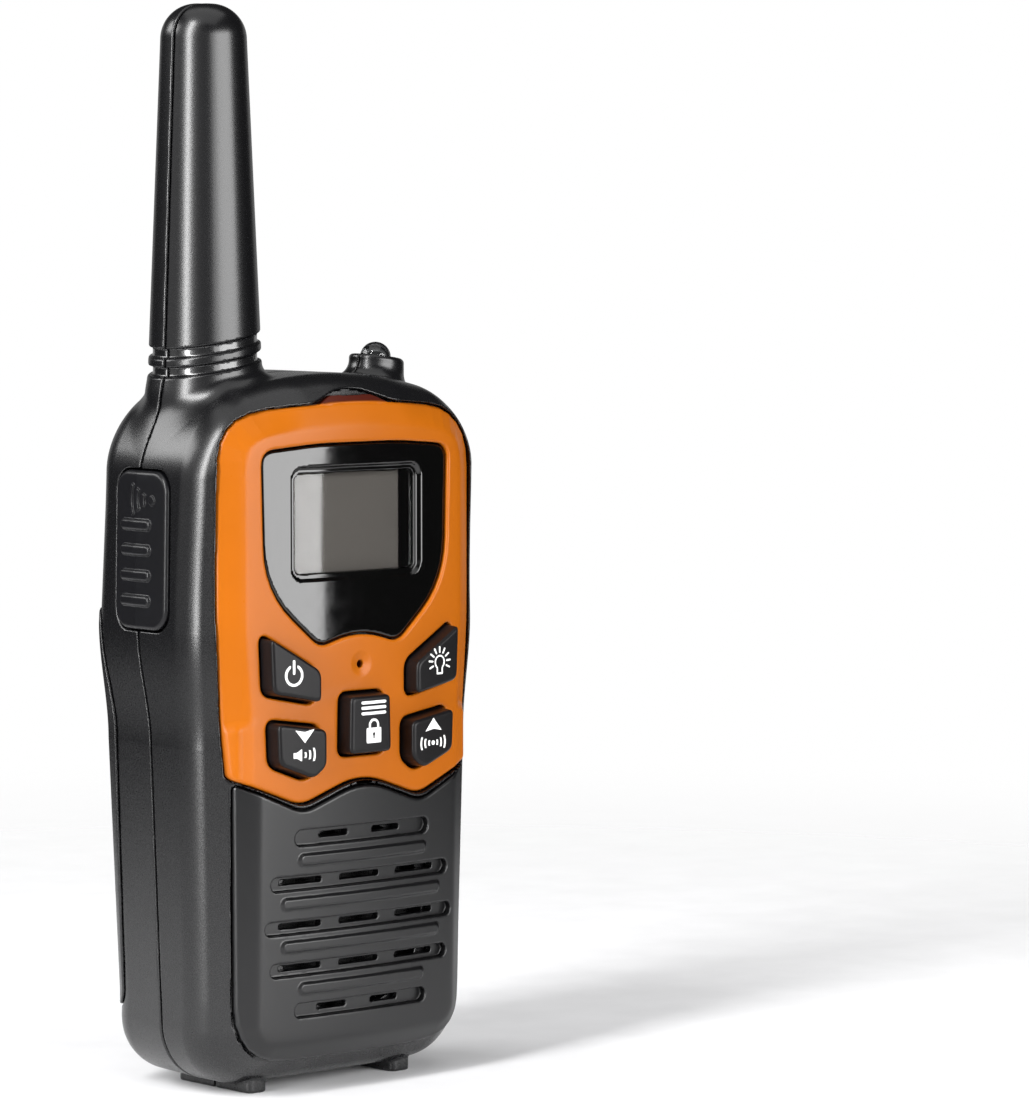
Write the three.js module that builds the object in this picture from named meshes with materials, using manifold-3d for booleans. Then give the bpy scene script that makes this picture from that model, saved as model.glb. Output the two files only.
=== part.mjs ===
// Handheld two way radio with a fixed antenna, five front keys, a side talk button,
// a torch lamp and a battery bay for three cells. Millimetres, +Z up, front facing -Y.
// Inside this file z = 0 is the sole of the feet, x = 0 the middle plane and y = 0 the front.
import * as THREE from 'three';
import { mergeVertices } from 'three/addons/utils/BufferGeometryUtils.js';
import Module from 'manifold-3d';

const wasm = await Module();
wasm.setup();

// ---- Driving dimensions ----
const OVERALL_HEIGHT = 170;
const BODY_HALF_WIDTH = 28.8;
const BODY_DEPTH = 35.1;
const BODY_TOP = 112.4;
const BODY_SHOULDER = 110.1;
const BODY_BOTTOM = 1.6;
const WALL = 2;
const GAP = 0.3;
const SEAM_HALF_GAP = 0.15;

// Edge radii of the body: side corners seen from the front, and the front and back edges
const TOP_CORNER = 10.5;
const BOTTOM_CORNER = 9.5;
const TOP_FRONT_EDGE = 4.5;
const TOP_BACK_EDGE = 6;
const BOTTOM_FRONT_EDGE = 3.5;
const BOTTOM_BACK_EDGE = 5;

// Waist: the body narrows between these two heights
const WAIST_LOW = 55;
const WAIST_HIGH = 73;

// Front pieces
const CROWN = 0.0037;
const PLATEAU_HALF = 21;
const BAND_SLOPE = 0.43;
const BEZEL_THICKNESS = 2.2;
const LENS_SINK = 0.4;
const LENS_THICKNESS = 1.6;
const KEY_PROUD = 2.6;
const KEY_BACK = 6.9;
const FRONT_WALL_FRONT = 2.6;
const FRONT_WALL_BACK = 6.4;
const PANEL_PROUD = 0.7;
const MIC_HEIGHT = 67.1;
const KEY_GAP = 0.35;

// Display: glass, backlight behind it and the strip that joins the glass to the board
const LCD_HALF_WIDTH = 16.6;
const LCD_LOW = 77.6;
const LCD_HIGH = 99.6;
const LCD_FRONT = 3.5;
const LCD_BACK = 5.1;
const BACKLIGHT_BACK = 7.4;
const STRIP_HEIGHT = 1.5;

// Speaker
const SPEAKER_HEIGHT = 27;
const SPEAKER_RADIUS = 16;
const CLOTH_RADIUS = 17.5;
const CLOTH_FRONT = 6.7;
const CLOTH_BACK = 7;

// Boards and the parts soldered to them
const BOARD_FRONT = 10.2;
const BOARD_BACK = 11.4;
const PART_FRONT = BOARD_BACK + GAP;
const MEMBRANE_FRONT = 8.4;
const MEMBRANE_BACK = 9.6;
const MIC_RADIUS = 2.8;

// Talk button on the -X side
const PTT_FRONT = 12;
const PTT_BACK = 24.8;
const PTT_LOW = 73;
const PTT_HIGH = 97.7;
const PTT_CORNER = 3.5;
const PTT_PROUD = 0.5;
const PTT_INNER = -25.4;
const SWITCH_FACE = -24;

// Antenna and torch boss
const ANTENNA_X = -16.1;
const ANTENNA_Y = 18.6;
const GROOVE_HEIGHTS = [112.7, 115.45];
const GROOVE_RADIUS = 8.3;
const GROOVE_WIDTH = 1.35;
const GROOVE_TILT = -9.6;
const LAMP_X = 19;
const LAMP_Y = 18.7;
const LAMP_RADIUS = 2.45;
const BOSS_RADIUS = 4.5;
const BOSS_TOP = 114.4;
const BOSS_TILT = 0.18;

// Battery bay, three AA cells side by side
const CELL_RADIUS = 7.25;
const CELL_LENGTH = 50.5;
const CELL_PITCH = 14.9;
const CELL_Y = 23.4;
const BAY_HALF_WIDTH = 22.5;
const BAY_LOW = 14.2;
const BAY_HIGH = 73.8;
const BAY_FLOOR = 15.9;
const TRAY_WALL = 1.4;

// Battery cover and its latch
const COVER_LOW = 12.5;
const COVER_HIGH = 75.5;
const COVER_EDGE_Y = 27.2;
const COVER_THICKNESS = 1.8;
const COVER_PROUD = 0.5;
const LATCH_HEIGHT = 17.5;

// Clip rail on the upper back
const RAIL_HALF_WIDTH = 8;
const RAIL_LOW = 82;
const RAIL_HIGH = 104;
const RAIL_PROUD = 1.6;
const RAIL_SLOT_HALF = 5;
const RAIL_SLOT_FLOOR = 33.4;

// Feet
const FOOT_INNER = 12.8;
const FOOT_OUTER = 16.8;
const FOOT_FRONT = 7.6;
const FOOT_BACK = 25.6;

// ---- Solids from geometries ----
function solidOf(geometry) {
  const bare = geometry.clone();
  bare.deleteAttribute('normal');
  bare.deleteAttribute('uv');
  const merged = mergeVertices(bare, 1e-4);
  const mesh = new wasm.Mesh({
    numProp: 3,
    vertProperties: new Float32Array(merged.attributes.position.array),
    triVerts: new Uint32Array(merged.index.array),
  });
  return new wasm.Manifold(mesh);
}

function geometryOf(solid) {
  const mesh = solid.getMesh();
  const geometry = new THREE.BufferGeometry();
  geometry.setAttribute('position', new THREE.BufferAttribute(mesh.vertProperties, 3));
  geometry.setIndex(new THREE.BufferAttribute(mesh.triVerts, 1));
  const faceted = geometry.toNonIndexed();
  faceted.computeVertexNormals();
  return faceted;
}

// A shape drawn in x and z, extruded from yFront to yBack
function across(shape, yFront, yBack, curveSegments = 4) {
  const options = { depth: yBack - yFront, bevelEnabled: false, curveSegments };
  const geometry = new THREE.ExtrudeGeometry(shape, options);
  geometry.rotateX(Math.PI / 2);
  geometry.translate(0, yBack, 0);
  return solidOf(geometry);
}

// A shape drawn in y and z, extruded from xLow to xHigh
function sideways(shape, xLow, xHigh, curveSegments = 4) {
  const options = { depth: xHigh - xLow, bevelEnabled: false, curveSegments };
  const geometry = new THREE.ExtrudeGeometry(shape, options);
  geometry.applyMatrix4(new THREE.Matrix4().set(0, 0, 1, xLow, 1, 0, 0, 0, 0, 1, 0, 0, 0, 0, 0, 1));
  return solidOf(geometry);
}

// A shape drawn in x and y, extruded from zLow to zHigh
function upward(shape, zLow, zHigh, curveSegments = 4) {
  const options = { depth: zHigh - zLow, bevelEnabled: false, curveSegments };
  const geometry = new THREE.ExtrudeGeometry(shape, options);
  geometry.translate(0, 0, zLow);
  return solidOf(geometry);
}

function box(xLow, xHigh, yLow, yHigh, zLow, zHigh) {
  const geometry = new THREE.BoxGeometry(xHigh - xLow, yHigh - yLow, zHigh - zLow);
  geometry.translate((xLow + xHigh) / 2, (yLow + yHigh) / 2, (zLow + zHigh) / 2);
  return solidOf(geometry);
}

// A turned piece standing on the Z axis, from [radius, height] pairs
function turned(profile, segments = 24) {
  const points = profile.map(([radius, height]) => new THREE.Vector2(radius, height));
  const geometry = new THREE.LatheGeometry(points, segments);
  geometry.rotateX(Math.PI / 2);
  return solidOf(geometry);
}

// A turned piece whose axis runs along +Y, from [radius, y] pairs
function turnedBack(profile, x, z, segments = 24) {
  const points = profile.map(([radius, y]) => new THREE.Vector2(radius, y));
  const geometry = new THREE.LatheGeometry(points, segments);
  geometry.translate(x, 0, z);
  return solidOf(geometry);
}

// A wire of this radius bent along a row of points
function wireAlong(points, radius) {
  const section = new THREE.Shape().absarc(0, 0, radius, 0, 2 * Math.PI);
  const extrudePath = new THREE.CatmullRomCurve3(points);
  const options = { steps: points.length - 1, bevelEnabled: false, extrudePath, curveSegments: 2 };
  return solidOf(new THREE.ExtrudeGeometry(section, options));
}

function disc(radius, x, z, yFront, yBack, segments = 20) {
  return turnedBack([[0, yFront], [radius, yFront], [radius, yBack], [0, yBack]], x, z, segments);
}

// A closed outline through corners [a, b, radius], each corner rounded by its radius
function rounded(corners, PathClass = THREE.Shape) {
  const outline = new PathClass();
  const count = corners.length;
  corners.forEach(([a, b, radius], i) => {
    const corner = new THREE.Vector2(a, b);
    const before = new THREE.Vector2(...corners[(i + count - 1) % count].slice(0, 2));
    const after = new THREE.Vector2(...corners[(i + 1) % count].slice(0, 2));
    const arrive = corner.clone().add(before.sub(corner).setLength(radius));
    const leave = corner.clone().add(after.sub(corner).setLength(radius));
    if (i === 0) {
      outline.moveTo(arrive.x, arrive.y);
    } else {
      outline.lineTo(arrive.x, arrive.y);
    }
    if (radius > 0) {
      outline.quadraticCurveTo(a, b, leave.x, leave.y);
    }
  });
  outline.closePath();
  return outline;
}

function rectangle(aLow, aHigh, bLow, bHigh, radius, PathClass = THREE.Shape) {
  return rounded([
    [aLow, bLow, radius], [aHigh, bLow, radius], [aHigh, bHigh, radius], [aLow, bHigh, radius],
  ], PathClass);
}

function polygon(points) {
  return new THREE.Shape(points.map(([a, b]) => new THREE.Vector2(a, b)));
}

const mirrored = (corners) => corners.map(([a, b, radius]) => [-a, b, radius]).reverse();

// ---- Body form ----
function waist(z) {
  const t = THREE.MathUtils.clamp((z - WAIST_LOW) / (WAIST_HIGH - WAIST_LOW), 0, 1);
  return t * t * (3 - 2 * t);
}

const below = (z) => Math.max(0, WAIST_LOW - z);
const above = (z) => Math.max(0, z - WAIST_HIGH);
const halfWidthAt = (z) => 27.8 + 1.0 * waist(z) - 0.026 * below(z) - 0.02 * above(z);
const frontAt = (z) => 0.5 * (1 - waist(z)) + 0.009 * below(z);
const backAt = (z) => 34.2 + 0.9 * waist(z) - 0.031 * below(z) - 0.055 * above(z);
const seamAt = (z) => 17.3 + 1.8 * waist(z) - 0.02 * below(z);

// Half plan of the body at its widest height, from the front middle to the back middle
function bodyPlan() {
  const half = [];
  for (const x of [0, 7, 14, 20]) {
    half.push([x, CROWN * x * x]);
  }
  half.push([24, 2.8], [26.4, 3.7], [27.3, 4.8], [28, 8], [28.5, 13], [28.8, 19], [28.5, 24]);
  const radius = 7.5;
  for (let i = 0; i <= 5; i += 1) {
    const angle = (i / 5) * (Math.PI / 2);
    half.push([28.2 - radius + radius * Math.cos(angle), BODY_DEPTH - radius + radius * Math.sin(angle)]);
  }
  const left = half.slice(1).reverse().map(([x, y]) => [-x, y]);
  return polygon([...half, ...left]);
}

// How far an edge of this radius has drawn in at a height near the top or the bottom
function drawnIn(z, topRadius, bottomRadius, inset) {
  const up = Math.max(0, z - (BODY_SHOULDER - inset - topRadius));
  const down = Math.max(0, BODY_BOTTOM + inset + bottomRadius - z);
  const topPart = topRadius - Math.sqrt(Math.max(0, topRadius * topRadius - up * up));
  const bottomPart = bottomRadius - Math.sqrt(Math.max(0, bottomRadius * bottomRadius - down * down));
  return topPart + bottomPart;
}

// Heights of the body's sections, closer together around the two rounded ends and the waist
function bodyStations(inset) {
  const low = BODY_BOTTOM + inset;
  const high = BODY_SHOULDER - inset;
  const stations = [];
  for (let i = 0; i < 6; i += 1) {
    stations.push(low + BOTTOM_CORNER * (1 - Math.cos((i / 6) * (Math.PI / 2))));
  }
  stations.push(12, 34, 55, 59.5, 64, 68.5, 73, 86);
  for (let i = 0; i <= 6; i += 1) {
    stations.push(high - TOP_CORNER * (1 - Math.sin((i / 6) * (Math.PI / 2))));
  }
  return stations;
}

// Lift of the crowned top over its shoulders
function crownLift(x, z) {
  const shoulderHalf = 28.3 - TOP_CORNER;
  const lift = (BODY_TOP - BODY_SHOULDER) * Math.max(0, 1 - (x / shoulderHalf) ** 2);
  return lift * THREE.MathUtils.clamp((z - 98) / (BODY_SHOULDER - 98), 0, 1);
}

// The body's outer form, or the same form drawn in by an inset
function bodySolid(inset) {
  const stations = bodyStations(inset);
  const steps = stations.length - 1;
  const column = new THREE.ExtrudeGeometry(bodyPlan(), { depth: steps, steps, bevelEnabled: false });
  const positions = column.attributes.position;
  for (let i = 0; i < positions.count; i += 1) {
    const z = stations[Math.round(positions.getZ(i))];
    const share = positions.getY(i) / BODY_DEPTH;
    const half = halfWidthAt(z) - inset - drawnIn(z, TOP_CORNER, BOTTOM_CORNER, inset);
    const front = frontAt(z) + inset + drawnIn(z, TOP_FRONT_EDGE, BOTTOM_FRONT_EDGE, inset);
    const back = backAt(z) - inset - drawnIn(z, TOP_BACK_EDGE, BOTTOM_BACK_EDGE, inset);
    const x = (positions.getX(i) * half) / BODY_HALF_WIDTH;
    positions.setXYZ(i, x, front + share * (back - front), z + crownLift(x, z));
  }
  return solidOf(column);
}

// Everything in front of the seam, or behind it
function seamSide(front) {
  const heights = [-5, 12, 30, WAIST_LOW, 60, 64, 68, WAIST_HIGH, 180];
  const shift = front ? -SEAM_HALF_GAP : SEAM_HALF_GAP;
  const seam = heights.map((z) => [seamAt(Math.max(z, 2)) + shift, z]);
  const far = front ? -30 : 70;
  return sideways(polygon([...seam, [far, 180], [far, -5]]), -40, 40);
}

// ---- Front skin: the crowned face and its sloping side bands ----
function faceAt(x) {
  const distance = Math.abs(x);
  const plateau = Math.min(distance, PLATEAU_HALF);
  return CROWN * plateau * plateau + BAND_SLOPE * Math.max(0, distance - PLATEAU_HALF);
}

const faceStations = [-32, -PLATEAU_HALF, -16, -11, -6, 0, 6, 11, 16, PLATEAU_HALF, 32];

// The layer of space between two depths under the front face
function faceLayer(near, far) {
  const nearEdge = faceStations.map((x) => [x, faceAt(x) + near]);
  const farEdge = faceStations.map((x) => [x, faceAt(x) + far]).reverse();
  return upward(polygon([...nearEdge, ...farEdge]), 0, 116);
}

// ---- Front outlines, in x and z ----
function bezelCorners(grow) {
  const half = [
    [12, 45.7 - grow, 2], [24.1 + grow, 50.5 - grow, 0.6], [24.5 + grow, 56, 1],
    [25.7 + grow, 72, 4], [25.7 + grow, 106.2 + grow, 9], [13, 107.5 + grow, 3],
  ];
  return [
    [0, 50 - grow, 4], ...half, [0, 108.3 + grow, 3], ...mirrored(half),
  ];
}

const windowCorners = [
  [0, 72.4, 4], [8, 70, 1.8], [18.6, 79.2, 5], [19.1, 101, 2.5], [8, 101.9, 2],
  [-8, 101.9, 2], [-19.1, 101, 2.5], [-18.6, 79.2, 5], [-8, 70, 1.8],
];

const upperKey = [[9.5, 61.5, 1.2], [19, 63.4, 1.2], [19.4, 72.6, 1.2], [9.5, 66.9, 1.2]];
const lowerKey = [
  [8.5, 51.7, 1], [11.2, 49.7, 1], [17.9, 52.3, 1.2], [18.2, 59.2, 1.2], [8.5, 57.8, 1.2],
];
const middleKey = [[-4.5, 53, 1.2], [4.5, 53, 1.2], [4.3, 62.6, 1.2], [-4.3, 62.6, 1.2]];

const keyCorners = {
  power_key: mirrored(upperKey),
  light_key: upperKey,
  monitor_key: mirrored(lowerKey),
  scan_key: lowerKey,
  menu_key: middleKey,
};

function middleOf(corners) {
  const total = corners.reduce((sum, [a, b]) => [sum[0] + a, sum[1] + b], [0, 0]);
  return total.map((value) => value / corners.length);
}

// Corners moved away from the outline's middle, to leave a running gap
function grown(corners, distance) {
  const middle = middleOf(corners);
  return corners.map(([a, b, radius]) => {
    const away = new THREE.Vector2(a - middle[0], b - middle[1]);
    const reach = away.length();
    away.setLength(reach + distance * Math.SQRT2);
    return [middle[0] + away.x, middle[1] + away.y, radius];
  });
}

function panelCorners(grow) {
  const half = [
    [22.8 + grow, 5.8 - grow, 9], [23.4 + grow, 49.5 + grow, 0.8], [12, 44.6 + grow, 2],
  ];
  return [[0, 5.5 - grow, 3], ...half, [0, 48.9 + grow, 4], ...mirrored(half)];
}

// ---- Shell halves ----
const antennaOuter = [
  [0, 96], [9.6, 96], [9.6, 109], [9.1, 112], [8.8, 116.1], [6.75, 164.5], [6.2, 166.9],
  [4.9, 168.7], [2.8, 169.7], [0, OVERALL_HEIGHT],
];
const antennaBore = [[0, 100], [6.4, 100], [6.4, 116], [4.7, 164], [0, 164]];

function antennaSolid(profile) {
  return turned(profile, 24).translate([ANTENNA_X, ANTENNA_Y, 0]);
}

// One of the two grooves round the antenna's root, both tilted up towards the torch
function antennaGroove(height) {
  const low = -GROOVE_WIDTH / 2;
  const high = GROOVE_WIDTH / 2;
  const ring = [[GROOVE_RADIUS, low], [12, low], [12, high], [GROOVE_RADIUS, high], [GROOVE_RADIUS, low]];
  return turned(ring, 24)
    .rotate([0, GROOVE_TILT, 0])
    .translate([ANTENNA_X, ANTENNA_Y, height]);
}

function antennaForm() {
  return GROOVE_HEIGHTS.reduce(
    (form, height) => form.subtract(antennaGroove(height)), antennaSolid(antennaOuter),
  );
}

function lampBoss() {
  const post = turned([[0, 98], [6, 98], [6, 109.5], [4.9, 111], [BOSS_RADIUS, 119], [0, 119]], 20);
  const rise = BOSS_TILT * 10;
  const sides = polygon([[-10, 90], [10, 90], [10, BOSS_TOP - rise], [-10, BOSS_TOP + rise]]);
  const under = across(sides, -10, 10);
  return post.intersect(under).translate([LAMP_X, LAMP_Y, 0]);
}

function lampBore() {
  return turned([[0, 95], [3.4, 95], [3.4, 109.6], [2.8, 109.6], [2.8, 121], [0, 121]], 20)
    .translate([LAMP_X, LAMP_Y, 0]);
}

function feet() {
  const plan = rectangle(FOOT_INNER, FOOT_OUTER, FOOT_FRONT, FOOT_BACK, 1.2);
  const foot = upward(plan, 0, 4.5);
  return foot.add(foot.mirror([1, 0, 0]));
}

function outerForm() {
  return bodySolid(0).add(antennaForm()).add(lampBoss()).add(feet());
}

function talkPocket(grow) {
  const outline = rectangle(
    PTT_FRONT - grow, PTT_BACK + grow, PTT_LOW - grow, PTT_HIGH + grow, PTT_CORNER,
  );
  return sideways(outline, -40, PTT_INNER - 0.2);
}

const screwPlaces = [[-22, 101], [22, 101], [-19.5, 8.4], [19.5, 8.4]];

const hollow = bodySolid(WALL)
  .subtract(faceLayer(-30, FRONT_WALL_FRONT + 1.6))
  .subtract(box(-40, 40, -30, FRONT_WALL_BACK, 0, 120));
const openForm = outerForm()
  .subtract(hollow)
  .subtract(antennaSolid(antennaBore))
  .subtract(lampBore())
  .subtract(talkPocket(GAP));

function screwBosses() {
  let bosses = disc(3.4, screwPlaces[0][0], screwPlaces[0][1], 5, 40, 12);
  for (const [x, z] of screwPlaces.slice(1)) {
    bosses = bosses.add(disc(3.4, x, z, 5, 40, 12));
  }
  return bosses.intersect(bodySolid(WALL / 2));
}

function screwBores() {
  let bores = null;
  for (const [x, z] of screwPlaces) {
    const bore = turnedBack([[0, 9], [1.5, 9], [1.5, 27], [2.9, 27], [2.9, 40], [0, 40]], x, z, 12);
    bores = bores ? bores.add(bore) : bore;
  }
  return bores;
}

function frontShell() {
  const pocketLayer = faceLayer(-20, FRONT_WALL_FRONT);
  const bezelPocket = across(rounded(bezelCorners(GAP)), -20, 20).intersect(pocketLayer);
  const panelPocket = across(rounded(panelCorners(GAP)), -20, 20).intersect(pocketLayer);
  const displayEdge = LCD_HALF_WIDTH + 0.6;
  const displayOpening = across(
    rectangle(-displayEdge, displayEdge, LCD_LOW - 0.6, LCD_HIGH + 0.6, 2), -20, 10,
  );
  const speakerOpening = disc(SPEAKER_RADIUS - 1, 0, SPEAKER_HEIGHT, -20, 10, 24);
  const micOpening = disc(1.2, 0, MIC_HEIGHT, -20, 10, 8);
  let shell = openForm.add(screwBosses()).subtract(screwBores()).intersect(seamSide(true));
  for (const cut of [bezelPocket, panelPocket, displayOpening, speakerOpening, micOpening]) {
    shell = shell.subtract(cut);
  }
  for (const corners of Object.values(keyCorners)) {
    shell = shell.subtract(across(rounded(grown(corners, KEY_GAP + 0.15)), -20, 10));
  }
  return shell;
}

function coverZone(grow) {
  const low = COVER_LOW - grow;
  const high = COVER_HIGH + grow;
  const edge = COVER_EDGE_Y - grow;
  const corners = [[edge, low, 3], [60, low, 0], [60, high, 0], [edge + 4, high, 2], [edge, 58, 6]];
  return sideways(rounded(corners), -40, 40);
}

function rearShell() {
  const trayBox = box(
    -BAY_HALF_WIDTH - TRAY_WALL, BAY_HALF_WIDTH + TRAY_WALL, BAY_FLOOR - TRAY_WALL, 60,
    BAY_LOW - TRAY_WALL, BAY_HIGH + TRAY_WALL,
  );
  const bay = box(-BAY_HALF_WIDTH, BAY_HALF_WIDTH, BAY_FLOOR, 60, BAY_LOW, BAY_HIGH);
  const tray = bodySolid(COVER_THICKNESS + GAP).intersect(trayBox);
  const coverRebate = coverZone(GAP).subtract(bodySolid(COVER_THICKNESS + GAP));
  const ledge = bodySolid(WALL / 2).subtract(bodySolid(COVER_THICKNESS + GAP + TRAY_WALL))
    .intersect(coverZone(2.2));
  const clipRail = box(-RAIL_HALF_WIDTH, RAIL_HALF_WIDTH, 30, 60, RAIL_LOW, RAIL_HIGH)
    .intersect(bodySolid(-RAIL_PROUD));
  const railSlot = box(-RAIL_SLOT_HALF, RAIL_SLOT_HALF, RAIL_SLOT_FLOOR, 60, RAIL_LOW + 4, RAIL_HIGH - 3);
  return openForm
    .add(screwBosses())
    .add(ledge)
    .intersect(seamSide(false))
    .add(clipRail.subtract(bodySolid(0.5)))
    .subtract(railSlot)
    .subtract(screwBores())
    .subtract(coverRebate)
    .add(tray)
    .subtract(bay);
}

// ---- Front pieces ----
function bezelFrame() {
  const outline = rounded(bezelCorners(0));
  outline.holes.push(rounded(windowCorners, THREE.Path));
  for (const corners of Object.values(keyCorners)) {
    outline.holes.push(rounded(grown(corners, KEY_GAP), THREE.Path));
  }
  return across(outline, -10, 20)
    .intersect(faceLayer(0, BEZEL_THICKNESS))
    .subtract(disc(0.5, 0, MIC_HEIGHT, -5, 8, 8));
}

function displayLens() {
  return across(rounded(grown(windowCorners, -GAP)), -10, 20)
    .intersect(faceLayer(LENS_SINK, LENS_SINK + LENS_THICKNESS));
}

function lcdPanel() {
  return box(-LCD_HALF_WIDTH, LCD_HALF_WIDTH, LCD_FRONT, LCD_BACK, LCD_LOW, LCD_HIGH);
}

function lcdBacklight() {
  const low = LCD_LOW + STRIP_HEIGHT + GAP;
  return box(-LCD_HALF_WIDTH, LCD_HALF_WIDTH, LCD_BACK + GAP, BACKLIGHT_BACK, low, LCD_HIGH);
}

function lcdConnector() {
  return box(-15, 15, LCD_BACK + GAP, BOARD_FRONT - GAP, LCD_LOW, LCD_LOW + STRIP_HEIGHT);
}

function key(corners) {
  return across(rounded(corners), -KEY_PROUD - 2, KEY_BACK, 3)
    .intersect(faceLayer(-KEY_PROUD, 20));
}

function keypadMembrane() {
  const sheet = box(-20.5, 20.5, MEMBRANE_FRONT, MEMBRANE_BACK, 47.5, 75);
  let membrane = sheet.subtract(disc(MIC_RADIUS + 1, 0, MIC_HEIGHT, 5, 12, 12));
  for (const corners of Object.values(keyCorners)) {
    const [x, z] = middleOf(corners);
    membrane = membrane.add(disc(2.5, x, z, MEMBRANE_FRONT - 0.3, MEMBRANE_BACK - 0.2, 10));
  }
  return membrane;
}

// Five rows of sound slots, the first and the last row shorter
const slotRows = [40.8, 33.9, 27, 20.1, 13.2].map((z, row) => {
  const short = row === 0 || row === 4;
  const openings = short ? [[-8.5, -2.2], [2.2, 8.5]] : [[-16, -7.3], [-4.3, 4.3], [7.3, 16]];
  return { z, openings };
});

function speakerGrille() {
  const layer = across(rounded(panelCorners(0)), -10, 20)
    .intersect(faceLayer(-PANEL_PROUD, BEZEL_THICKNESS));
  return slotRows.reduce((grille, row) => {
    let cut = grille;
    for (const [left, right] of row.openings) {
      cut = cut.subtract(across(rectangle(left, right, row.z - 0.7, row.z + 0.7, 0.6), -10, 20, 2));
    }
    return cut;
  }, layer);
}

// ---- Sound pieces ----
function grilleCloth() {
  return disc(CLOTH_RADIUS, 0, SPEAKER_HEIGHT, CLOTH_FRONT, CLOTH_BACK, 24);
}

function speakerBasket() {
  const profile = [
    [13.2, 7.3], [SPEAKER_RADIUS, 7.3], [SPEAKER_RADIUS, 8.7], [9.6, 12], [9.6, 12.8], [7.4, 12.8],
    [7.4, 11.6], [13.2, 8.7], [13.2, 7.3],
  ];
  return turnedBack(profile, 0, SPEAKER_HEIGHT, 24);
}

function speakerCone() {
  const profile = [[0, 9.2], [4.2, 9.4], [12.7, 7.7], [12.7, 8.1], [4.2, 10], [0, 9.8]];
  return turnedBack(profile, 0, SPEAKER_HEIGHT, 24);
}

function speakerMagnet() {
  return disc(7, 0, SPEAKER_HEIGHT, 10.6, 14, 20);
}

function microphone() {
  return disc(MIC_RADIUS, 0, MIC_HEIGHT, 6.7, 9.8, 16);
}

function microphoneBoot() {
  const inner = MIC_RADIUS + GAP;
  const outer = inner + 0.4;
  const profile = [[inner, 6.7], [outer, 6.7], [outer, 9.4], [inner, 9.4], [inner, 6.7]];
  return turnedBack(profile, 0, MIC_HEIGHT, 16);
}

// ---- Boards ----
function mainBoard() {
  const half = [[22, 46], [22, 96.8], [18, 97.5], [18, 107]];
  const left = half.map(([x, z]) => [-x, z]).reverse();
  return across(polygon([...half, ...left]), BOARD_FRONT, BOARD_BACK);
}

function radioShield() {
  return box(-16, 16, PART_FRONT, PART_FRONT + 2.8, 78, 100);
}

function controlChip() {
  return box(-7, 7, PART_FRONT, PART_FRONT + 1.2, 58, 72);
}

// ---- Talk button ----
function talkButton() {
  const outline = rectangle(PTT_FRONT, PTT_BACK, PTT_LOW, PTT_HIGH, PTT_CORNER);
  let button = sideways(outline, -34, PTT_INNER).intersect(bodySolid(-PTT_PROUD));
  for (let i = 0; i < 4; i += 1) {
    const z = 77.5 + 3.93 * i;
    button = button.add(sideways(rectangle(13.9, 23.6, z - 0.6, z + 0.6, 0.5), -29.7, -26, 2));
  }
  return button;
}

function talkSwitch() {
  const housing = box(-23.2, -20.2, PART_FRONT, 16.9, 82.5, 88.5);
  return housing.add(box(SWITCH_FACE, -23, 13.2, 15.4, 84.5, 86.5));
}

// ---- Antenna ----
function antennaCoil() {
  const turns = 10;
  const low = 112;
  const high = 160;
  const stepsPerTurn = 9;
  const points = [];
  for (let i = 0; i <= turns * stepsPerTurn; i += 1) {
    const angle = (i / stepsPerTurn) * 2 * Math.PI;
    const z = low + ((high - low) * i) / (turns * stepsPerTurn);
    points.push(new THREE.Vector3(3.3 * Math.cos(angle), 3.3 * Math.sin(angle), z));
  }
  return wireAlong(points, 0.4).translate([ANTENNA_X, ANTENNA_Y, 0]);
}

function antennaCore() {
  return antennaSolid([[0, 104], [4.6, 104], [4.6, 108], [2.4, 108], [2.4, 162], [0, 162]]);
}

// ---- Torch lamp ----
function torchLamp() {
  const dome = [[0, 107], [3, 107], [3, 108.4], [LAMP_RADIUS, 108.4], [LAMP_RADIUS, 114]];
  for (let i = 1; i < 4; i += 1) {
    const angle = (i / 4) * (Math.PI / 2);
    dome.push([LAMP_RADIUS * Math.cos(angle), 114 + LAMP_RADIUS * Math.sin(angle)]);
  }
  dome.push([0, 114 + LAMP_RADIUS]);
  return turned(dome, 20).translate([LAMP_X, LAMP_Y, 0]);
}

function lampBoard() {
  return box(LAMP_X - 5, LAMP_X + 1.6, LAMP_Y - 3.5, LAMP_Y + 3.5, 105.4, 106.6);
}

// ---- Battery side ----
function batteryCover() {
  const skin = bodySolid(-COVER_PROUD * 0.6).subtract(bodySolid(COVER_THICKNESS));
  const latchPocket = box(-6.3, 6.3, 28, 60, LATCH_HEIGHT - 3.3, LATCH_HEIGHT + 5.5);
  return skin.intersect(coverZone(0)).subtract(latchPocket);
}

function coverLatch() {
  const skin = bodySolid(-COVER_PROUD * 0.6).subtract(bodySolid(COVER_THICKNESS));
  const plate = skin.intersect(box(-6, 6, 28, 60, LATCH_HEIGHT - 3, LATCH_HEIGHT + 3));
  const ridge = box(-4, 4, 28, 60, LATCH_HEIGHT - 0.6, LATCH_HEIGHT + 0.6);
  const grip = bodySolid(-1.2).subtract(bodySolid(0.5)).intersect(ridge);
  return plate.add(grip);
}

function batteryCell(column) {
  const x = (column - 1) * CELL_PITCH;
  const low = 19.2;
  const high = low + CELL_LENGTH;
  const flip = column === 1;
  const profile = [
    [0, low], [CELL_RADIUS, low], [CELL_RADIUS, high - 1], [2.7, high - 1], [2.7, high], [0, high],
  ];
  const cell = turned(profile, 20);
  const placed = flip ? cell.rotate([180, 0, 0]).translate([0, 0, low + high]) : cell;
  return placed.translate([x, CELL_Y, 0]);
}

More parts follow.
